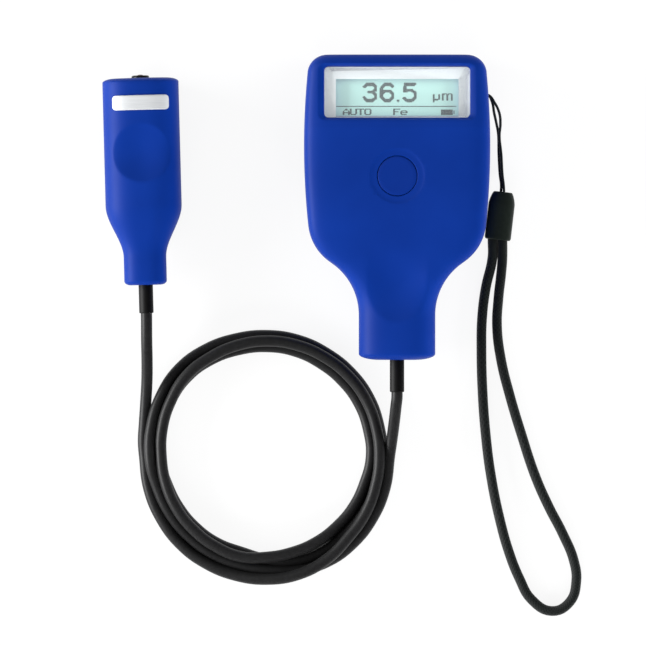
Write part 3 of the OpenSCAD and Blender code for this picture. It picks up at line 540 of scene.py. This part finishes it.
# Moulded ABS, spark-textured tool: solid blue, satin, with a fine grain that breaks up the gloss
def blue_abs(name, deep, pale):
    # the grit is drawn coarser than the real texture, so that it shows
    grit_size, flow_size = 0.303, 22.2
    made, tree, shader = new_finish(name, {"IOR": 1.52, "Specular IOR Level": 0.1})
    place = add(tree, "TexCoord").outputs["Object"]
    grit = add(tree, "TexNoise", {"Vector": place, "Scale": 1.0 / (grit_size * MM)}).outputs[0]
    flow = add(tree, "TexNoise", {"Vector": place, "Scale": 1.0 / (flow_size * MM)}).outputs[0]
    tint = add(tree, "ValToRGB", {0: flow}, shader.inputs["Base Color"])
    for stop, at, shade in zip(tint.color_ramp.elements, (0.3, 0.7), (deep, pale)):
        stop.position = at
        stop.color = linear(shade)
    add(tree, "MapRange", {"Value": grit, "To Min": 0.48, "To Max": 0.6}, shader.inputs["Roughness"])
    add(tree, "Bump", {"Height": grit, "Strength": 0.12, "Distance": 0.1 * MM}, shader.inputs["Normal"])
    return made


housing_blue = blue_abs("moulded_blue_abs", "#03297c", "#052d84")
view_half, view_low = (20.4, 6.3), split_z + 3


def in_view(p):
    """Whether a place, in mm, lies in the opening over the display cell"""
    beside = abs(p.x) < view_half[0] and abs(p.y - y_window + view_drop) < view_half[1]
    return beside and p.z > view_low


shell = half_shell(gauge_rows, gauge_columns, front_place, wall, in_view)
front_cover = new_piece("front_cover_skin", shell, housing_blue)

# Dish round the button, steepest just inside its rim, and the bore that the button slides in
button_at = (0.0, 10.4)
bore_r, dish_r, dish_depth, dish_power = 6.75, 9.2, 0.34, 12
tool_low, tool_high = 20.0, 30.0
dish_past = dish_r + 0.2


def dish_z(r):
    """Height of the dish at a distance from its middle"""
    return crease_z - dish_depth * (1 - (r / dish_r) ** dish_power)


dish = [(0.0, tool_low), (bore_r, tool_low), (bore_r, dish_z(bore_r) - 0.25)]
dish += [(r, dish_z(r)) for r in (bore_r + 0.2, 7.4, 7.8, 8.1, 8.4, 8.6, 8.8, 9.0, dish_r, dish_past)]
dish += [(dish_past, tool_high), (0.0, tool_high)]
carve(front_cover, spun(dish, (*button_at, 0.0)))
crisp(front_cover)
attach(front_cover, "gauge")
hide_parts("front_cover")


# Rear cover: lower half, same ABS. It holds the battery well, a T-slot for the door,
# four screw wells and, on its right side, two holes that the strap is tied through.
flat_share = 1.03
slot_half, flange_half, slot_end, slot_top, flange_low = 12.4, 13.4, -8.7, 2.1, 0.8
slot_wall, slot_roof, past_edge, past_back = 1.8, 1.2, 60.0, -1.0
well_half, well_end, well_head, well_top, well_wall = 11.2, -6.1, 42.2, 13.4, 1.4
well_roof, in_wall = 15.0, wall / 2
boss_r, head_r, shank_r, head_depth = 3.3, 2.6, 1.5, 6.0
screw_in, screw_rows = 7.3, (23.7, y_shoulder + 1.5)
eye_y, eye_low, eye_high, eye_r, eye_depth, eye_l = 37.8, 4.6, 8.8, 1.1, 4.0, 6.0


def rear_place(y, column, cap, inset):
    """A place on the rear half, an inset under its surface, or on its split line for a cap"""
    x, share = section(y, column, inset)
    if cap:
        return x, drawn_y(y, inset), split_z
    down = split_z - back_z(y) - inset - edge_inset(y) - dome_share * dome_inset(y)
    return x, drawn_y(y, inset), split_z - min(down, flat_share * down * share)


def block(bm, low, high):
    """Adds a box between two corners, in mm"""
    middle = (Vector(low) + Vector(high)) / 2 * MM
    size = (Vector(high) - Vector(low)) * MM
    bmesh.ops.create_cube(bm, size=1.0, matrix=Matrix.Translation(middle) @ Matrix.Diagonal((*size, 1)))


def peg(bm, middle, low, high, r, along=(0, 0, 1)):
    """Adds a round bar on an axis through the middle, from low to high along it, in mm"""
    turn = Vector((0, 0, 1)).rotation_difference(Vector(along)).to_matrix().to_4x4()
    lift = Matrix.Translation((0, 0, (low + high) / 2 * MM))
    place = Matrix.Translation(Vector(middle) * MM) @ turn @ lift
    bmesh.ops.create_cone(bm, cap_ends=True, segments=48, radius1=r * MM, radius2=r * MM,
                          depth=(high - low) * MM, matrix=place)


screws = [(side * (half_w(y) - screw_in), y) for side in (-1, 1) for y in screw_rows]
shell = half_shell(gauge_rows, gauge_columns, rear_place, wall)
rear_cover = new_piece("rear_cover_skin", shell, housing_blue)
tool = bmesh.new()
block(tool, (-flange_half - slot_wall, slot_end - slot_wall, in_wall),
      (flange_half + slot_wall, y_top - wall, slot_top + slot_roof))
block(tool, (-well_half - well_wall, well_end - well_wall, in_wall),
      (well_half + well_wall, well_head + well_wall, well_roof))
for x, y in screws:
    peg(tool, (x, y, 0), in_wall, split_z, boss_r)
carve(rear_cover, tool, "UNION")
tool = bmesh.new()
block(tool, (-slot_half, slot_end, past_back), (slot_half, past_edge, slot_top))
block(tool, (-flange_half, slot_end, flange_low), (flange_half, past_edge, slot_top))
block(tool, (-well_half, well_end, 0.0), (well_half, well_head, well_top))
for x, y in screws:
    peg(tool, (x, y, 0), past_back, head_depth, head_r)
    peg(tool, (x, y, 0), 0.0, well_roof, shank_r)
for z in (eye_low, eye_high):
    peg(tool, (half_w(eye_y) - eye_depth, eye_y, z), 0.0, eye_l, eye_r, (1, 0, 0))
carve(rear_cover, tool)
crisp(rear_cover)
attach(rear_cover, "gauge")
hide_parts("rear_cover")


# Battery door: a flat plate of the same blue ABS, moulded with grip grooves and two long flanges.
# It slides into the T-slot of the rear cover from the top edge, over the two cells.
def softened(node, name, finish, width):
    """A piece with the shape of a CAD node, merged, with its sharp edges rounded"""
    bm = bmesh.new()
    bm.from_mesh(frame["nodes"][node].data)
    bmesh.ops.remove_doubles(bm, verts=bm.verts, dist=1e-6)
    bmesh.ops.dissolve_limit(bm, angle_limit=math.radians(1.0), verts=bm.verts, edges=bm.edges)
    sharp_from = 30.0
    made = new_piece(name, bm, finish, sharp_from)
    made.data.attributes.remove(made.data.attributes["custom_normal"])
    if width:
        soft = made.modifiers.new("edges", "BEVEL")
        soft.width = width * MM
        soft.segments = 2
        soft.limit_method = "ANGLE"
        soft.angle_limit = math.radians(sharp_from)
        soft.use_clamp_overlap = True
        soft.harden_normals = True
    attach(made, frame["nodes"][node]["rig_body"])
    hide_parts(node)
    return made


door = softened("battery_cover", "battery_door", housing_blue, 0.15)


# Push button: a cap moulded in blue ABS of its own shade, its face a little hollow.
# It stands in the bore of the dish and rests on the plunger of the switch on the board.
button_blue = blue_abs("moulded_button_abs", "#032778", "#052b80")
button_r, button_foot, button_face = 6.65, 21.0, 27.6
cap = [(0.0, button_foot), (button_r, button_foot), (button_r, button_face - 0.45),
       (button_r - 0.06, button_face - 0.25), (button_r - 0.2, button_face - 0.09),
       (button_r - 0.45, button_face), (5.2, button_face - 0.04), (3.8, button_face - 0.09),
       (2.2, button_face - 0.13), (0.0, button_face - 0.15)]
button = new_piece("button_cap", spun(cap, (*button_at, 0.0)), button_blue)
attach(button, "power_button")
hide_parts("power_button")


# Display: a light grey printed frame round the opening, the display cell behind it, its dark dots,
# and a clear acrylic window over all, seated in the recess.
face_middle = Matrix.Translation(Vector((0, y_window, front_z(y_window))) * MM)
on_face = face_middle @ Matrix.Rotation(-face_slope, 4, "X")

# Printed film: pale cool grey ink, dull, with a screen grain, drawn coarser than the real one to show
film_ink = mottled("printed_film", "#e2eaea", "#eaf1f1", 0.625, {"Roughness": 0.55}, detail=1.0)
frame_print = softened("display_bezel", "display_frame", film_ink, 0.0)

# Reflective display cell: pale sea green, faintly clouded, with the gloss of its cover glass
cell_green = mottled("display_cell", "#bff0e6", "#c8f6ed", 16.7, {"Roughness": 0.3}, detail=1.0)
cell = softened("lcd_glass", "display_cell", cell_green, 0.1)

# Dots of the reading: square electrodes on a 0.3 mm pitch, drawn along strokes
dot_pitch, dot_size, dot_thick = 0.3, 0.27, 0.03
dot_shape = Matrix.Diagonal((dot_size, dot_size, dot_thick, 1))
cell_sink, dot_lift = 4.5, 0.03
strokes = {
    "3": [[(0, .84), (.2, 1), (.75, 1), (1, .85), (1, .65), (.75, .53), (.4, .53)],
          [(.75, .53), (1, .38), (1, .15), (.75, 0), (.2, 0), (0, .16)]],
    "6": [[(.95, .88), (.75, 1), (.3, 1), (0, .75), (0, .2), (.25, 0), (.75, 0), (1, .2), (1, .4), (.75, .58),
           (.25, .58), (0, .4)]],
    "5": [[(.95, 1), (.1, 1), (.05, .56), (.3, .63), (.7, .63), (1, .45), (1, .2), (.7, 0), (.25, 0),
           (0, .13)]],
    "point": [[(0, 0), (.01, 0)]],
    "micro": [[(0, 1), (0, -.4)], [(0, .2), (.3, 0), (.7, 0), (1, .25)], [(1, 1), (1, 0)]],
    "m": [[(0, 0), (0, 1)], [(0, .85), (.2, 1), (.4, 1), (.5, .85), (.5, 0)],
          [(.5, .85), (.7, 1), (.9, 1), (1, .85), (1, 0)]],
    "A": [[(0, 0), (0, .6), (.5, 1), (1, .6), (1, 0)], [(0, .38), (1, .38)]],
    "U": [[(0, 1), (0, .15), (.2, 0), (.8, 0), (1, .15), (1, 1)]],
    "T": [[(0, 1), (1, 1)], [(.5, 1), (.5, 0)]],
    "O": [[(.2, 0), (.8, 0), (1, .2), (1, .8), (.8, 1), (.2, 1), (0, .8), (0, .2), (.2, 0)]],
    "F": [[(0, 0), (0, 1), (1, 1)], [(0, .52), (.75, .52)]],
    "e": [[(0, .36), (1, .36), (1, .55), (.8, .72), (.2, .72), (0, .55), (0, .17), (.2, 0), (.9, 0)]],
    "rule": [[(0, 0), (1, 0)]],
    "battery": [[(0, v), (.88, v)] for v in (0, .2, .4, .6, .8, 1)] + [[(1, .2), (1, .8)]],
}
# Each mark with its left, foot, width and height on the cell in mm, and half the stroke.
# A left end between two columns of dots makes upright strokes two dots wide.
marks = [
    ("3", -10.9, 35.9, 3.7, 5.4, .52), ("6", -5.2, 35.9, 3.7, 5.4, .52), ("point", .3, 35.75, 1, 1, .45),
    ("5", 2.3, 35.9, 3.7, 5.4, .52), ("micro", 12.15, 36.15, 1.8, 1.8, .2), ("m", 15.15, 36.0, 3.0, 2.1, .2),
    ("rule", -20.1, 33.9, 39.6, 1, .16), ("battery", 14.7, 31.2, 4.2, 1.5, .16),
]
letter_lefts = (-17.85, -15.45, -13.05, -10.65, -1.05, 1.35)
marks += [(letter, left, 31.2, 1.8, 1.8, .17) for letter, left in zip("AUTOFe", letter_lefts)]


def off_stroke(p, a, b):
    """Distance of a place from the line between two others"""
    way = b - a
    t = min(1.0, max(0.0, (p - a).dot(way) / max(1e-9, way.length_squared)))
    return (p - a - t * way).length


def dot_numbers(places, thick):
    """Numbers of the dots in a row that strokes at these places may cover"""
    first = math.floor((min(places) - thick) / dot_pitch)
    last = math.ceil((max(places) + thick) / dot_pitch)
    return range(first, last + 1)


dots = bmesh.new()
for name, left, foot_y, wide, tall, thick in marks:
    lines = [[Vector((left + wide * u, foot_y + tall * v)) for u, v in line] for line in strokes[name]]
    spots = [p for line in lines for p in line]
    for i in dot_numbers([p.x for p in spots], thick):
        for k in dot_numbers([p.y for p in spots], thick):
            spot = Vector((i * dot_pitch, k * dot_pitch))
            if min(off_stroke(spot, a, b) for line in lines for a, b in zip(line, line[1:])) < thick:
                place = Matrix.Translation(Vector((spot.x, spot.y - y_window, dot_lift - cell_sink)) * MM)
                bmesh.ops.create_cube(dots, size=MM, matrix=on_face @ place @ dot_shape)

# Switched liquid crystal: dark green grey, dull
dot_dark = mottled("display_dots", "#2c3f3e", "#384c4a", 3.33, {"Roughness": 0.4})
reading = new_piece("display_dots", dots, dot_dark)
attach(reading, "gauge")

# Cast acrylic: clear, polished, with the faintest cool tint
polish = {"Roughness": 0.05, "IOR": 1.49, "Alpha": 0.07}
acrylic = mottled("clear_acrylic", "#eef0f8", "#f8f9fd", 25.0, polish)
window = softened("display_window", "window_pane", acrylic, 0.2)


# Probe shells: two halves in the blue ABS of the gauge, moulded about the cable's axis and screwed
# together from the back. They taper to a rounder neck, and the front one has a thumb dimple.
probe_at, probe_turn = (-84.7, 8.67), math.radians(1.5)
probe_split = 11.2
probe_half_l = 34.5
probe_wall = 1.8
probe_power = 2.6
probe_neck, probe_full = (14.2, 13.2), (25.4, 22.4)
taper_start, taper_l = 9.3, 17.3
probe_end, tip_draw, neck_draw = 1.4, 4.0, 2.2
tip_hole_r, cable_hole_r, hole_in, hole_out = 4.65, 2.5, 4.0, 2.0
probe_screw_x, probe_screw_y, probe_screw_r, probe_screw_depth = 5.6, -7.1, 1.7, 7.2
probe_frame = Matrix.Translation(Vector((*probe_at, 0)) * MM) @ Matrix.Rotation(probe_turn, 4, "Z")
dimple_y, dimple_r, dimple_depth = 9.5, 9.7, 2.4


def probe_half(y, axis):
    """Half the width (axis 0) or the thickness (axis 1) of the probe, without its rounded ends"""
    return mix(probe_neck[axis], probe_full[axis], ease((y + probe_half_l - taper_start) / taper_l)) / 2


def probe_round(y):
    """How far the rounded ends draw the section in"""
    over = max(0.0, abs(y) - probe_half_l + probe_end) / probe_end
    return (tip_draw if y > 0 else neck_draw) * (1 - math.sqrt(max(0.0, 1 - over * over)))


def dimple(x, y):
    """Depth of the thumb dimple"""
    return dimple_depth * max(0.0, 1 - (x * x + (y - dimple_y) ** 2) / dimple_r ** 2)


def probe_place(y, column, cap, inset, front):
    """A place on the front or rear half, an inset under its surface, or on its split line for a cap"""
    angle, side = column
    draw = probe_round(y) + inset
    u = math.sin(math.radians(angle))
    x = (probe_half(y, 0) - draw) * u
    h = probe_half(y, 1) - draw
    share = crown(u, probe_power)
    if abs(u) == 1.0:
        x -= side * groove
    y -= inset * y / probe_half_l
    if cap:
        return x, y, probe_split
    if front:
        return x, y, probe_split + h * share - dimple(x, y)
    return x, y, probe_split - min(h, flat_share * h * share)


probe_angles = [-90, -89, -87, *range(-84, 85, 3), 87, 89, 90]
probe_columns = [(angle, 1 if angle > 0 else -1) for angle in probe_angles]
probe_dome = [probe_end * (1 - math.sin(math.radians(a))) for a in range(90, -1, -10)]
probe_rows = [probe_half_l - d for d in probe_dome]
probe_rows += spread(probe_half_l - probe_end, (dimple_y + dimple_r, 14), (dimple_y - dimple_r, 34),
                     (-8.0, 8), (taper_start - probe_half_l, 26), (probe_end - probe_half_l, 8))[1:]
probe_rows += [d - probe_half_l for d in reversed(probe_dome)][1:]


def probe_shell(name, node, front):
    """One half of the probe, with its holes for the tip and the cable, and the rear one's for the screws"""
    shell = half_shell(probe_rows, probe_columns, lambda *spot: probe_place(*spot, front), probe_wall)
    made = new_piece(name, shell, housing_blue)
    tool = bmesh.new()
    middle = (0, 0, probe_split)
    peg(tool, middle, probe_half_l - hole_in, probe_half_l + hole_out, tip_hole_r, (0, 1, 0))
    peg(tool, middle, -probe_half_l - hole_out, -probe_half_l + hole_in, cable_hole_r, (0, 1, 0))
    if not front:
        for x in (-probe_screw_x, probe_screw_x):
            peg(tool, (x, probe_screw_y, 0), past_back, probe_screw_depth, probe_screw_r)
    carve(made, tool)
    made.data.transform(probe_frame)
    crisp(made, 30.0)
    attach(made, "gauge")
    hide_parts(node)


probe_shell("probe_front_skin", "probe_front_shell", True)
probe_shell("probe_rear_skin", "probe_rear_shell", False)


# Label: a bare plate of metallised film, cut with rounded corners
# and stuck on the curve of the probe's front shell, under the tip.
label_y, label_half, label_r = 26.2, (9.4, 2.45), 1.2
label_thick, label_top = 0.25, 0.3
plate = bmesh.new()
bmesh.ops.create_grid(plate, x_segments=48, y_segments=10, size=1.0)
for vert in plate.verts:
    x = label_half[0] * math.sin(vert.co.x * math.pi / 2)
    past = max(0.0, abs(x) - label_half[0] + label_r)
    y = label_y + vert.co.y * (label_half[1] - label_r + math.sqrt(max(0.0, label_r ** 2 - past ** 2)))
    top = probe_split + probe_half(y, 1) * crown(x / probe_half(y, 0), probe_power)
    vert.co = Vector((x, y, top - dimple(x, y) + label_top)) * MM
bmesh.ops.transform(plate, matrix=probe_frame, verts=plate.verts)

# Metallised film under a gloss varnish: silver white, brushed across.
# The brush marks are drawn wider than the real ones, so that they show.
brush_long, brush_wide = 8.33, 0.333
plate_silver, tree, shader = new_finish("label_film", {"Roughness": 0.35, "Metallic": 0.25})
place = add(tree, "TexCoord")
stroke = Vector((1 / brush_long, 1 / brush_wide, 1 / brush_long)) / MM
turn = add(tree, "Mapping", {"Vector": place.outputs["Object"], "Scale": stroke})
brush = add(tree, "TexNoise", {"Vector": turn.outputs[0], "Scale": 1.0, "Detail": 3.0})
tint = add(tree, "ValToRGB", {0: brush.outputs[0]}, shader.inputs["Base Color"])
tint.color_ramp.elements[0].color = linear("#c6c9cb")
tint.color_ramp.elements[1].color = linear("#e2e4e6")
label = new_piece("label_plate", plate, plate_silver)
sheet = label.modifiers.new("thickness", "SOLIDIFY")
sheet.thickness = label_thick * MM
sheet.offset = -1.0
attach(label, "gauge")
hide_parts("probe_label")


# Strain reliefs: plain sleeves of black rubber, moulded with a flange, one at each end of the cable.
# They are slid on the cable, and the flange is held inside the end wall of its shell.
def dark_stuff(name, deep, pale, gloss):
    """A black rubber or plastic with a soft bloom, in spots of about 1.4 mm"""
    dull = {"Roughness": gloss, "Specular IOR Level": 0.2}
    return mottled(name, deep, pale, 1.43, dull, detail=4.0, bump=(0.15, 0.1))


# Moulded rubber: deep black and dull
sleeve_rubber = dark_stuff("sleeve_rubber", "#070707", "#0c0c0c", 0.55)
for node in ("gauge_cable_sleeve", "probe_cable_sleeve"):
    softened(node, node + "_rubber", sleeve_rubber, 0.08)


# Tip: a guide ring in the probe's end wall, with the sprung tip in it, both turned in black acetal.
# The ruby point that the tip carries is with the works of the probe, below.

# Turned acetal: a greyer black, with a satin gloss
tip_black = dark_stuff("turned_black_acetal", "#101011", "#161617", 0.32)
for node in ("tip_guide", "probe_plunger"):
    softened(node, node + "_turned", tip_black, 0.1)


# Wrist strap: a braided loop and a thin tied loop, both polyester, joined in a moulded rubber slider.
# The thin loop is threaded through the two holes of the rear cover.
rest_gap = 0.05
bead_top, bead_end = Vector((35.5, 5.3)), Vector((33.65, -10.7))
bead_w, bead_t, bead_power = 8.8, 6.4, 2.4
bead_l = (bead_top - bead_end).length
bead_way = (bead_top - bead_end).normalized()
bead_side = Vector((bead_way.y, -bead_way.x))
# Rings of the slider: distance from its lower end, and share of the full size
bead_rings = [(0, 0), (0, .3), (0, .6), (0, .86), (.08, .92), (.3, .965), (.8, 1), (3, 1), (6, 1), (9, 1),
              (bead_l - 4.2, 1), (bead_l - 3.8, .995), (bead_l - 2.4, .93), (bead_l - 1, .82),
              (bead_l - .4, .75), (bead_l - .1, .7), (bead_l, .62), (bead_l, .4), (bead_l, 0)]
bead = bmesh.new()
bead_sides = 64
bmesh.ops.create_grid(bead, x_segments=bead_sides, y_segments=len(bead_rings) - 1, size=1.0)
for vert in bead.verts:
    turn = math.pi * vert.co.x
    far, size = bead_rings[round((vert.co.y + 1) / 2 * (len(bead_rings) - 1))]
    x = math.copysign(abs(math.cos(turn)) ** (2 / bead_power), math.cos(turn)) * bead_w / 2 * size
    z = math.copysign(abs(math.sin(turn)) ** (2 / bead_power), math.sin(turn)) * bead_t / 2 * size
    flat = bead_end + bead_way * far + bead_side * x
    vert.co = Vector((flat.x, flat.y, bead_t / 2 + rest_gap + z)) * MM
bmesh.ops.remove_doubles(bead, verts=bead.verts, dist=1e-6)
bmesh.ops.recalc_face_normals(bead, faces=bead.faces)
# Moulded rubber of the slider: black with a breath of green, satin
bead_rubber = dark_stuff("slider_rubber", "#121714", "#1b211d", 0.45)
slider = new_piece("strap_slider", bead, bead_rubber)
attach(slider, "gauge")
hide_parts("strap_bead")

strap_d = 3.3
strap_z = strap_d / 2 + rest_gap
strand_apart, strand_lift, strand_fall = 1.66, 1.0, 6.0
strap_xy = [(29.7, -27), (28.5, -37), (28.3, -47), (28.6, -60), (29.7, -75.5), (31.5, -89.7), (34.4, -104),
            (37.7, -115.7), (40.9, -123.7), (45, -130.9), (51.9, -134.8), (57.8, -131.8), (60, -125),
            (59.2, -118), (55.5, -109), (50.7, -99.7), (46.3, -89.7), (41.6, -75.5), (37.8, -62.8),
            (34.8, -50.5), (33.5, -39.5), (34.0, -30), (34.9, -22)]


def bead_foot(side, back):
    """A place on one of the two strands, a distance back from the slider's lower end"""
    flat = bead_end + side * strand_apart * bead_side
    return flat.x, flat.y - back, strap_z + strand_lift - back / strand_fall


strap_run = [bead_foot(-1, -1.5), bead_foot(-1, 0.3), bead_foot(-1, 6)]
strap_run += [(x, y, strap_z) for x, y in strap_xy]
strap_run += [bead_foot(1, 6), bead_foot(1, 0.3), bead_foot(1, -1.5)]


# Polyester braid: near black, dull, eight yarns a side crossing at 45 degrees along the cord
def braided(name, length, diameter):
    dull = {"Roughness": 0.7, "Specular IOR Level": 0.3, "Sheen Weight": 0.1}
    made, tree, shader = new_finish(name, dull)
    yarns = 8
    turns = length / (math.pi * diameter * MM) * yarns
    # one diagonal band of the wave texture at scale 1
    band = 2 * math.pi / 10
    place = add(tree, "TexCoord")
    lays = []
    for way in (1, -1):
        lay = (turns * band, way * yarns * band, 0)
        laid = add(tree, "Mapping", {"Vector": place.outputs["UV"], "Scale": lay})
        wave = add(tree, "TexWave", {"Vector": laid.outputs[0], "Scale": 1.0}, bands_direction="DIAGONAL")
        lays.append(wave.outputs[1])
    weave = add(tree, "Math", {0: lays[0], 1: lays[1]}, operation="MAXIMUM").outputs[0]
    tint = add(tree, "ValToRGB", {0: weave}, shader.inputs["Base Color"])
    tint.color_ramp.elements[0].color = linear("#040606")
    tint.color_ramp.elements[1].color = linear("#101514")
    add(tree, "Bump", {"Height": weave, "Strength": 0.5, "Distance": 0.2 * MM}, shader.inputs["Normal"])
    return made


wrist = new_cord("wrist_loop", strap_run, strap_d)
bpy.context.view_layer.update()
strap_l = curve_length(wrist)
wrist.data.materials.append(braided("wrist_braid", strap_l, strap_d))
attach(wrist, "gauge")
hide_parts("strap_wrist_loop")

thread_d = 0.9
thread_start = Vector((bead_top.x - 0.2, bead_top.y + 0.1, bead_t / 2))
eye_in, eye_out = half_w(eye_y) - wall - 1.6, half_w(eye_y) + 0.2
thread_run = [thread_start + Vector((0.5, -1.5, 0.3)), thread_start + Vector((0.5, 0, 0.3)),
              thread_start + Vector((0.4, 2, 0.1)),
              (35.3, 11, 1.9), (34.9, 18, 1.6), (34.3, 24, 2.4), (34.6, 28, 4.4), (34.2, 31.6, 6.6),
              (32.6, 35, 8.4), (eye_out, eye_y - 0.3, eye_high), (eye_in + 0.6, eye_y, eye_high),
              (eye_in, eye_y, mix(eye_low, eye_high, 0.7)), (eye_in, eye_y, mix(eye_low, eye_high, 0.3)),
              (eye_in + 0.6, eye_y, eye_low), (eye_out, eye_y - 0.3, eye_low),
              (31.8, 35.4, 4.4), (32.5, 31.8, 3.2), (33.3, 28.2, 1.8), (33.9, 25, 0.9), (34.1, 18, 0.7),
              (34.5, 11, 1.0), thread_start + Vector((-0.4, 2, -0.4)), thread_start + Vector((-0.5, 0, -0.4)),
              thread_start + Vector((-0.5, -1.5, -0.4))]
thread = new_cord("thin_loop", thread_run, thread_d)
bpy.context.view_layer.update()
thread_l = curve_length(thread)
thread.data.materials.append(braided("thread_braid", thread_l, thread_d))
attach(thread, "gauge")
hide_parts("strap_thin_loop")


# Works of the gauge, inside the housing: board with its chips and switch, display holder, two cells,
# their contacts, and the four screws. They stay as the CAD solids, each in what it is made of.
def dress(finish, *nodes):
    """Gives CAD solids a material"""
    for node in nodes:
        mesh = frame["nodes"][node].data
        mesh.materials.clear()
        mesh.materials.append(finish)


def works_stuff(name, deep, pale, size, gloss, metal=0.0):
    """What a part of the works is made of: plain, with a fine, slightly raised mottle"""
    return mottled(name, deep, pale, size, {"Roughness": gloss, "Metallic": metal}, bump=(0.1, 0.1))


# Solder mask: glossy green lacquer over copper, mottled as by the tracks under it
dress(works_stuff("green_solder_mask", "#14502b", "#1d6a3a", 1.2, 0.3), "main_board", "sensor_board")
# Moulding compound: black epoxy, dull and slightly sandy
epoxy = works_stuff("chip_epoxy", "#151516", "#1e1e20", 0.2, 0.6)
dress(epoxy, "board_chips", "tact_switch", "switch_plunger")
# White ABS of the display holder and the plug: soft white, satin
dress(works_stuff("white_abs", "#e6e5e0", "#efeeea", 0.6, 0.45), "lcd_holder", "probe_connector")
# Nickel-plated steel: bright grey, finely mottled
nickel = works_stuff("nickel_steel", "#b4b4b2", "#cccbc8", 0.15, 0.28, 1.0)
dress(nickel, "battery_springs", "battery_plates", "housing_screws")

# Cells: steel cans in a printed sleeve, dark with a copper-coloured band at the plus end
cell_low, cell_high, band_share = -6.0, 42.0, 0.3
cell_wrap, tree, shader = new_finish("cell_sleeve", {"Roughness": 0.3})
place = add(tree, "TexCoord")
apart = add(tree, "SeparateXYZ", {0: place.outputs["Object"]})
along = add(tree, "MapRange", {"Value": apart.outputs["Y"], "From Min": cell_low * MM,
                               "From Max": cell_high * MM})
tint = add(tree, "ValToRGB", {0: along.outputs[0]}, shader.inputs["Base Color"])
tint.color_ramp.interpolation = "CONSTANT"
tint.color_ramp.elements[0].color = linear("#b87a3c")
tint.color_ramp.elements[1].color = linear("#1b1c1f")
tint.color_ramp.elements[1].position = band_share
dress(cell_wrap, "battery_left", "battery_right")


# Works of the probe: a steel core with its winding of enamelled copper, the ruby point, the spring
# and two screws. All but the spring stay as the CAD solids.
wire_d = 0.3

# Enamelled copper: red brown and glossy, one ring for each turn of the wire
enamel, tree, shader = new_finish("enamelled_copper", {"Roughness": 0.25, "Metallic": 0.8})
place = add(tree, "TexCoord")
# one band of the wave texture along Y at scale 1
band = 2 * math.pi / 20
turns = add(tree, "TexWave", {"Vector": place.outputs["Object"], "Scale": band / (wire_d * MM)},
            bands_direction="Y")
tint = add(tree, "ValToRGB", {0: turns.outputs[0]}, shader.inputs["Base Color"])
tint.color_ramp.elements[0].color = linear("#7a3413")
tint.color_ramp.elements[1].color = linear("#b5602b")
add(tree, "Bump", {"Height": turns.outputs[1], "Strength": 0.4, "Distance": 0.1 * MM},
    shader.inputs["Normal"])
dress(enamel, "sensor_coil")
dress(nickel, "sensor_core", "probe_screws")

# Spring behind the tip, between its fixed seat and the tip, which presses it as it goes in: the CAD shape,
# merged, with a mesh of its own
spring = softened("probe_spring", "tip_spring", nickel, 0.0)
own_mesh(spring)

# Synthetic ruby: deep red, polished
dress(works_stuff("ruby", "#3c0710", "#4c0a14", 0.3, 0.1), "wear_tip")
